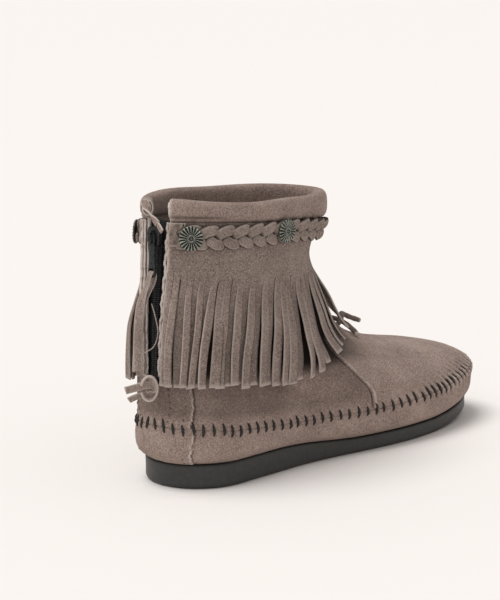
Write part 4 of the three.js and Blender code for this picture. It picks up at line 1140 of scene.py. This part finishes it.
t, w = np.meshgrid(np.linspace(0, 1, 560), np.linspace(0, 1, 20))
slit_ends = 0.12 * np.sin(t * count * 1.9) + 0.08 * np.sin(t * count * 4.3 + 1)
v = lerp(SLIT_ROW - SLIT_ROWS + slit_ends, BAND_TOP, w)
ragged = 0.0009 * (np.sin(v * 8.3) + 0.7 * np.sin(v * 19.0 + 2))
u = lerp(LIP_SHARE + ragged, 1 - LIP_SHARE - ragged, t)
top, under = band_patch(u, v, BAND_OUT, BAND_THICKNESS)
lips = np.minimum(u - u[:, :1], u[:, -1:] - u) * SHAFT_LENGTH
tone = 0.95 * bell(lips, 0.8)
points, faces = shell(in_frame(top), in_frame(under))
band = mesh_object("fringe_band_suede", points, faces, BOOT, fringe_suede, np.tile(tone.ravel(), 2))
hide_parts("fringe")

# %% [markdown]
# ## Braid
# A flat plait of three strands. Each strand swings from edge to edge in a sine, and passes over and
# under in a sine of twice the rate; the three are a third of a turn apart. That is all a plait is,
# so one formula gives every crossing.

# %% Braid strands
BRAID_LOW, BRAID_HIGH, PATCH_LENGTH, BRAID_BASE = 14.15, 15.85, 7.0, 1.1
OVER_BAND = BAND_OUT + BAND_THICKNESS + GAP + SLACK
BRAID_ROW = (BRAID_LOW + BRAID_HIGH) / 2
STRAND_PERIOD, STRAND_SWING, STRAND_WIDTH, STRAND_THICKNESS = 26.8, 3.9, 6.4, 1.6
CONCHO_SHARES = [0.071, 0.274, 0.5, 0.726, 0.929]
patch_share = PATCH_LENGTH / SHAFT_LENGTH
braid_start = EDGE_SHARE + patch_share * 0.7


def braid_row(u):
    """The plait's middle row: a little low by the zip and close under the collar in front."""
    return BRAID_ROW - 0.14 + 0.44 * smooth(from_back(u), 0.10, 0.34)


def strand(phase, steps=460, sides=18):
    """One strand: sideways swing sin(a), height sin(2a) a little late, so that it stays on top round
    its outer turn, and a domed section. The ornaments press it flat."""
    u = np.linspace(braid_start, 1 - braid_start, steps)
    run = (u - u[0]) * length_at(BRAID_ROW)
    turn = 2 * np.pi * run / STRAND_PERIOD + phase
    row = braid_row(u)
    up_to = unit(surface(u, row + 0.3) - surface(u, row - 0.3))
    n = normal(u, row)
    over = np.sin(2 * turn - 0.7)
    pressed = sum(bell((u - share) * length_at(BRAID_ROW), 6.0) for share in CONCHO_SHARES)
    height = OVER_BAND + 1.3 + 1.15 * over * (1 - 0.6 * pressed) - 0.3 * pressed
    centre = surface(u, row) + up_to * (STRAND_SWING * np.sin(turn))[:, None]
    centre = centre + n * height[:, None]
    ahead = unit(np.gradient(centre, axis=0))
    across = unit(np.cross(n, ahead))
    lift = np.cross(ahead, across)
    angle = angles(sides)
    wide = rounded(np.cos(angle), 0.6) * STRAND_WIDTH / 2
    thick = rounded(np.sin(angle), 0.8) * STRAND_THICKNESS / 2
    dome = 0.9 * (1 - (wide / (STRAND_WIDTH / 2)) ** 2)
    high = thick + dome * (1 - 0.6 * pressed[:, None])
    ring = centre[:, None] + across[:, None] * wide[:, None] + lift[:, None] * high[..., None]
    share = np.abs(wide / (STRAND_WIDTH / 2))
    # Tone: a faint pale line near each side, the cut edge's paler colour and partly a painted highlight;
    # painted shade on the rounded sides and where the strand passes under the others.
    edge = 0.25 * bell(share - 0.78, 0.08) - 1.0 * smooth(share, 0.84, 0.95)
    under = 0.95 * smooth(-over, -0.05, 0.5)
    return ring, np.maximum(edge[None, :] - under[:, None], -1)


parts = [strand(2 * np.pi * k / 3) for k in range(3)]
rings = np.stack([ring for ring, _ in parts])
tone = np.stack([part_tone for _, part_tone in parts])
points, faces = rods(in_frame(rings))
braid = mesh_object("braid_suede", points, faces, BOOT, braid_suede, tone)
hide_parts("braid")

# %% Braid ends: a sewn patch by the zip on each side
ends_u, ends_v = [], []
for name, start, sewn_at in (("braid_end_outer", EDGE_SHARE, 0.86),
                             ("braid_end_inner", 1 - EDGE_SHARE - patch_share, 0.14)):
    u, v = np.meshgrid(np.linspace(start, start + patch_share, 24), np.linspace(BRAID_LOW, BRAID_HIGH, 36))
    crumple = 0.4 * np.sin((u - start) / patch_share * 9) * np.sin((v - BRAID_LOW) * 5.5)
    top, under = band_patch(u, v, OVER_BAND, BRAID_BASE, crumple)
    rim = np.minimum(u - u.min(), u.max() - u) * SHAFT_LENGTH
    rim = np.minimum(rim, np.minimum(v - v.min(), v.max() - v) * 7)
    # Pale cut rim; painted shade in the troughs of the crumple.
    tone = 0.8 * bell(rim, 0.45) - 0.3 * bell(crumple + 0.4, 0.25)
    points, faces = shell(in_frame(top), in_frame(under))
    patch = mesh_object(f"{name}_suede", points, faces, BOOT, braid_suede, np.tile(tone.ravel(), 2))
    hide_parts(name)
    ends_u.append(np.full(6, start + sewn_at * patch_share))
    ends_v.append(np.linspace(BRAID_LOW + 0.15, BRAID_HIGH - 0.15, 6))

u0, v0 = np.concatenate(ends_u), np.concatenate(ends_v)
sewing = stitches(u0, v0, np.zeros(12), np.full(12, 0.85), 0.32, 0.35, OVER_BAND + BRAID_BASE + 0.2, sides=6)
points, faces = rods(sewing)
sewn_ends = mesh_object("braid_end_thread", points, faces, BOOT, thread)

# %% [markdown]
# ## Ornaments
# Five cast discs sit on the braid. The relief is a function of radius and angle: a rim, petals as a
# cosine of twenty turns that fade at the rim and at the boss, and a boss in a small ring.

# %% Fluted discs
CONCHO_RADIUS, FLUTES = 6.5, 20


def disc_height(r, angle):
    """Height at radius share r: a dish with petals, a bead at the rim and a boss at the middle."""
    petals = 0.36 * np.cos(FLUTES * angle) * smooth(r, 0.28, 0.40) * (1 - smooth(r, 0.90, 0.98))
    dish = 1.0 + 0.5 * (1 - r**2)
    ring = 0.3 * bell(r - 0.24, 0.04) - 0.25 * bell(r - 0.16, 0.05)
    boss = 0.35 * bell(r, 0.09)
    return dish + petals + ring + boss


def disc_points(u):
    r = np.concatenate([np.linspace(0.02, 0.96, 30), [0.985, 1.0, 1.0, 0.97, 0.02]])
    angle = np.linspace(0, 2 * np.pi, 160, endpoint=False)
    R, A = np.meshgrid(r, angle, indexing="ij")
    H = disc_height(R, A)
    H[-5:] = np.array([0.92, 0.62, 0.2, 0.0, 0.0])[:, None]
    scallop = 1 + 0.012 * np.cos(FLUTES * A) * smooth(R, 0.8, 1)
    row = braid_row(u) + (0.10 if 0.2 < u < 0.8 else -0.06)
    n, upright = normal(u, row), np.array([0, 0, 1.0])
    side = unit(np.cross(upright, n))
    lift = np.cross(n, side)
    base = skin(u, row, OVER_BAND + BRAID_BASE + 1.9 + GAP)
    flat = CONCHO_RADIUS * R * scallop
    points = base + H[..., None] * n
    points = points + flat[..., None] * (np.cos(A)[..., None] * side + np.sin(A)[..., None] * lift)
    tone = np.clip(1.1 * np.cos(FLUTES * A) * smooth(R, 0.28, 0.38) - 0.1 + 0.8 * bell(R - 0.24, 0.035)
                   - 0.9 * bell(R - 0.15, 0.05), -1, 1)
    tone[-4:] = -0.6
    return points, tone


for i, u in enumerate(CONCHO_SHARES):
    rings, tone = disc_points(u)
    points, faces = rods(in_frame(rings)[None])
    disc = mesh_object(f"concho_disc_{i + 1}", points, faces, BOOT, antique, tone)
    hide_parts(f"concho_{i + 1}")

# %% [markdown]
# ## Zip
# The zip is set inside the leather. The tape is a flat woven strip on each side, and the closed
# coil is two rows of nylon loops, made as one array of small rods.

# %% Zip tape and coil
TAPE_OUT, TAPE_THICKNESS, COIL_WIDTH, COIL_RISE = -LEATHER - GAP - SLACK, 0.9, 4.6, 1.6
COIL_FOOT, COIL_HEAD, COIL_PITCH, COIL_RADIUS = 60.5, 141.0, 1.15, 0.36


def tape_face(v):
    """x of the tape's flat face: where the tape meets the leather just beyond the opening's lip."""
    edge = slot_half(surface(np.zeros(np.shape(v)), v)[..., 2]) + 1
    return skin(edge / length_at(v), v, np.full(np.shape(v), TAPE_OUT))[..., 0]


def tape_grid(depth, columns=41, rows=70):
    u, v = np.meshgrid(np.linspace(-0.048, 0.048, columns), np.linspace(5, 15.9, rows))
    points = skin(u, v, np.full(u.shape, TAPE_OUT - depth))
    points[..., 0] = np.maximum(points[..., 0], tape_face(v) + depth)
    return points


points, faces = shell(in_frame(tape_grid(0)), in_frame(tape_grid(TAPE_THICKNESS)))
tape = mesh_object("zip_tape_cloth", points, faces, BOOT, zip_cloth)
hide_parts("zip_tape")

heights = np.arange(COIL_FOOT, COIL_HEAD, COIL_PITCH)
zip_rows = np.interp(heights, surface(np.zeros(200), np.linspace(5, 16, 200))[:, 2], np.linspace(5, 16, 200))
face = tape_face(zip_rows)
t = np.linspace(0, np.pi, 7)
loops = []
for hand in (-1, 1):
    x = (face - GAP)[:, None] - 0.15 - COIL_RISE * 0.8 * np.sin(t)[None, :]
    y = hand * (0.1 + (COIL_WIDTH / 2 - 0.2) * (1 - np.cos(t)) / 2)[None, :] + 0 * x
    z = heights[:, None] + 0.29 * hand + 0.25 * np.cos(t)[None, :]
    loops.append(np.stack([x, y, z], axis=-1))
paths = in_frame(np.concatenate(loops))
points, faces = rods(tubes(paths, np.array([0, 0, 1.0]), COIL_RADIUS, 6))
coil = mesh_object("zip_coil_nylon", points, faces, BOOT, zip_nylon)
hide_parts("zip_coil")
print("coil loops", len(paths))

# %% [markdown]
# ## Slider and pull tab
# Both are die cast in zinc and painted: no edge is sharp, and the rounds are what the light finds.
# The slider is a stack of outlines that draw in at its two faces. The tab is two cast eyes, each a
# closed rod, with a plate between them.

# %% Slider
SLIDER_AT, SLIDER_WIDTH, SLIDER_HEIGHT, SLIDER_DEPTH, SLIDER_BACK = 136.0, 9.0, 11.0, 3.0, 1.45
CROWN_RISE, PIN_X, PIN_Z, PULL_LENGTH = 3.3, -2.70, 137.5, 23.0


def upright_outline(y, z, power, count=64):
    """A superellipse in the (y, z) plane: its points start at the top and mirror about z."""
    angle = np.pi / 2 - 2 * np.pi * (np.arange(count) + 0.5) / count
    wide, tall = rounded(np.cos(angle), 2 / power), rounded(np.sin(angle), 2 / power)
    return np.stack([y * wide * (1 + 0.10 * tall), z * tall], axis=-1)


def cast_rod(path, wide, thick, wide_hint, power=0.6, sides=12, loop=False):
    """Rings of a rounded section along a path: wide along the hint and thick square to it."""
    round_it = np.roll(path, -1, axis=0) - np.roll(path, 1, axis=0)
    ahead = unit(round_it if loop else np.gradient(path, axis=0))
    hint = np.asarray(wide_hint, float)
    a = unit(hint - ahead * (ahead @ hint)[:, None])
    b = np.cross(ahead, a)
    angle = angles(sides)
    w, t = rounded(np.cos(angle), power) * wide / 2, rounded(np.sin(angle), power) * thick / 2
    return path[:, None] + a[:, None] * w[:, None] + b[:, None] * t[:, None]


def merged(parts):
    """Several (points, faces) in one."""
    starts = np.cumsum([0] + [len(points) for points, _ in parts[:-1]])
    return np.vstack([points for points, _ in parts]), np.vstack([f + n for (_, f), n in zip(parts, starts)])


depth = np.array([0.0, 0.12, 0.45, 1.0, 1.5, 2.0, 2.55, 2.88, 3.0])
inset = np.array([0.55, 0.2, 0.0, 0.0, 0.25, 0.0, 0.0, 0.2, 0.6])
outlines = np.stack([upright_outline(SLIDER_WIDTH / 2 - k, SLIDER_HEIGHT / 2 - k, 3.2) for k in inset])
face_x = SLIDER_BACK - SLIDER_DEPTH
x = np.broadcast_to((face_x + depth)[:, None, None], outlines.shape[:2] + (1,))
shield = np.concatenate([x, outlines], axis=-1) + np.array([0, 0, SLIDER_AT])
arch = smooth_path([(face_x + 0.4, 0, SLIDER_AT + 3.0), (face_x - 1.6, 0, SLIDER_AT + 3.1),
                    (face_x - CROWN_RISE + 0.55, 0, SLIDER_AT + 2.3),
                    (face_x - CROWN_RISE + 0.5, 0, SLIDER_AT),
                    (face_x - CROWN_RISE + 0.55, 0, SLIDER_AT - 2.3), (face_x - 1.6, 0, SLIDER_AT - 3.1),
                    (face_x + 0.4, 0, SLIDER_AT - 3.0)], 44)
crown = cast_rod(arch, 2.0, 0.95, (0, 1, 0))
points, faces = merged([rods(in_frame(shield)[None]), rods(in_frame(crown)[None])])
slider = mesh_object("zip_slider_cast", points, faces, BOOT, gunmetal)
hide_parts("zip_slider")

# %% Pull tab
PULL_WIDTH, PULL_THICKNESS, EYE_ROD, EYE_HALF, PIN_THICKNESS = 5.4, 1.2, 0.9, 2.9, 1.25


def eye(middle_z, half_tall, count=48):
    """A closed rod round an opening of the tab."""
    angle = angles(count, 0)
    y = rounded(np.cos(angle), 0.7) * (PULL_WIDTH / 2 - EYE_ROD / 2)
    z = rounded(np.sin(angle), 0.7) * (half_tall - EYE_ROD / 2)
    path = np.stack([0 * y, y, z], axis=-1) + np.array([PIN_X, 0, middle_z])
    return rods(in_frame(cast_rod(path, PULL_THICKNESS, 0.95, (1, 0, 0), loop=True))[None], loop=True)


plate_z = np.linspace(PIN_Z - 5.0, PIN_Z - PULL_LENGTH + 4.9, 30)
plate_t = np.linspace(-1, 1, 30)
waist = PULL_WIDTH / 2 - 0.05 - 0.45 * bell(plate_t, 0.7)
angle = angles(24)
wide, thick = rounded(np.cos(angle), 0.5), rounded(np.sin(angle), 0.5) * PULL_THICKNESS / 2
raised = 1 - 0.28 * smooth(np.abs(wide), 0.5, 0.7)[None, :] * (1 - smooth(np.abs(plate_t), 0.8, 1.0))[:, None]
plate = np.stack([PIN_X + thick[None, :] * raised, waist[:, None] * wide[None, :],
                  np.broadcast_to(plate_z[:, None], (30, 24))], axis=-1)
pin_path = np.stack([np.full(12, PIN_X), np.linspace(-2.4, 2.4, 12), np.full(12, PIN_Z)], axis=-1)
pin = cast_rod(pin_path, PIN_THICKNESS, PIN_THICKNESS, (1, 0, 0), 1.0)
points, faces = merged([eye(PIN_Z - 2.6, EYE_HALF), eye(PIN_Z - PULL_LENGTH + EYE_HALF, EYE_HALF),
                        rods(in_frame(plate)[None]), rods(in_frame(pin)[None])])
tab = mesh_object("zip_pull_cast", points, faces, PULL, gunmetal)
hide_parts("zip_pull")

# %% [markdown]
# ## Pull strap and knot
# A strip of suede goes through the tab's lower eye, both legs hang behind the heel, and they end in
# an overhand knot. Leather is too stiff to knot tightly, so the knot stays open: a broad turn, a
# crossing inside it, and the two cut ends that stick out. Each is a flat strip along a smooth path.

# %% Strap and knot
STRAP_WIDTH, STRAP_THICKNESS, LOOP_THICKNESS = 5.0, 1.2, 1.9
HOLE_Z = PIN_Z - PULL_LENGTH + 2.6
KNOT = np.array([-11.3, -5.3, 57.3])
ACROSS, TOWARDS = unit(np.array([0.70, -0.71, 0])), unit(np.array([-0.71, -0.70, 0]))


def strap_piece(route, width, wide_hint, steps=60, tips=(False, True), thickness=STRAP_THICKNESS):
    """Points, faces and tone of a strip whose cut edges and tips are pale."""
    path = in_frame(smooth_path(route, steps))
    rings, edge = flat_strip(path, width, thickness, wide_hint)
    points, faces = rods(rings[None])
    tone = 0.9 * edge
    for at, shown in zip((slice(0, 2), slice(-2, None)), tips):
        tone[at] = 0.95 if shown else tone[at]
    return points, faces, tone.ravel()


def at_knot(a, b, c):
    """A point by its place in the knot: across, up, and towards the one who looks at it."""
    return tuple(KNOT + a * ACROSS + np.array([0, 0, b]) + c * TOWARDS)


turn = 0.6 + GAP + SLACK + STRAP_THICKNESS / 2
top_front, top_back = at_knot(-5.6, 8.5, 0.6), at_knot(-6.6, 8.0, -1.6)
legs = [top_front, (-13.6, 0.4, 76), (-12.2, 0.9, 91), (-9.4, 1.3, 103), (-5.6, 0.4, HOLE_Z - 5),
        (PIN_X - turn, 0, HOLE_Z - 1.2), (PIN_X - 0.2, 0, HOLE_Z + 0.5), (PIN_X + turn, 0, HOLE_Z - 1.2),
        (PIN_X + 1.2, 0.8, HOLE_Z - 6), (-7.4, 2.2, 102), (-11.0, 2.0, 90), (-12.8, 1.6, 75), top_back]
steps = 170
share = np.linspace(-1, 1, steps)
leg_width = lerp(3.3, STRAP_WIDTH, smooth(np.abs(share), 0.10, 0.35))
leg_hint = lerp(np.array([0, -1.0, 0]), ACROSS, smooth(np.abs(share), 0.12, 0.6)[:, None])
turns = 2 * np.pi * np.linspace(0.04, 0.96, 11) - np.pi
loop_turn = 2 * np.pi * np.linspace(0.04, 0.96, 80)[:, None] - np.pi
loop_hint = 0.45 * (np.cos(loop_turn) * ACROSS + np.sin(loop_turn) * np.array([0, 0, 1.0])) + 0.9 * TOWARDS
broad_turn = [(3.7 * math.cos(t), 6.0 * math.sin(t), 1.6 - 1.0 * math.cos(t)) for t in turns]
crossing = [(-6.0, 8.6, -1.0), (-3.0, 5.6, 0.4), (1.4, 3.6, 1.6), (2.4, -1.0, 1.8), (-1.0, -4.6, 0.8)]
upper_end = [(2.2, 1.6, 0.4), (-2.4, 1.8, 2.6), (-7.0, 0.6, 3.0), (-12.6, -1.0, 2.4)]
lower_end = [(1.0, -3.6, -0.2), (-3.4, -3.8, 1.0), (-7.2, -4.8, 1.2), (-11.0, -6.6, 0.8)]
broad_turn, crossing, upper_end, lower_end = (
    [at_knot(*point) for point in route] for route in (broad_turn, crossing, upper_end, lower_end))
steep = np.array([0, 0, 0.9])
parts = [
    strap_piece(legs, leg_width, leg_hint, steps, (False, False)),
    strap_piece(broad_turn, 3.4, loop_hint, 80, (False, False), LOOP_THICKNESS),
    strap_piece(crossing, 3.4, 0.6 * ACROSS + steep + 0.3 * TOWARDS, 60, (False, False)),
    strap_piece(upper_end, 4.2, (0, 0, 1), 50),
    strap_piece(lower_end, 4.0, 0.5 * TOWARDS + steep, 50),
]
points, faces = merged([(points, faces) for points, faces, _ in parts])
tone = np.concatenate([tone for *_, tone in parts])
strap = mesh_object("pull_strap_suede", points, faces, PULL, fringe_suede, tone)
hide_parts("pull_strap")

# %% A loose fibre that the slit has drawn out beside the strap
fibre = [(-5.0, -1.6, 101), (-6.4, -6.0, 94), (-6.8, -8.0, 86), (-8.6, -6.4, 79), (-11.6, -2.4, 75.5)]
rings = round_rod(in_frame(smooth_path(fibre, 44)), 0.32, 8)
points, faces = rods(rings[None])
strand_piece = mesh_object("loose_fibre_suede", points, faces, PULL, fringe_suede, np.full(len(points), 0.3))
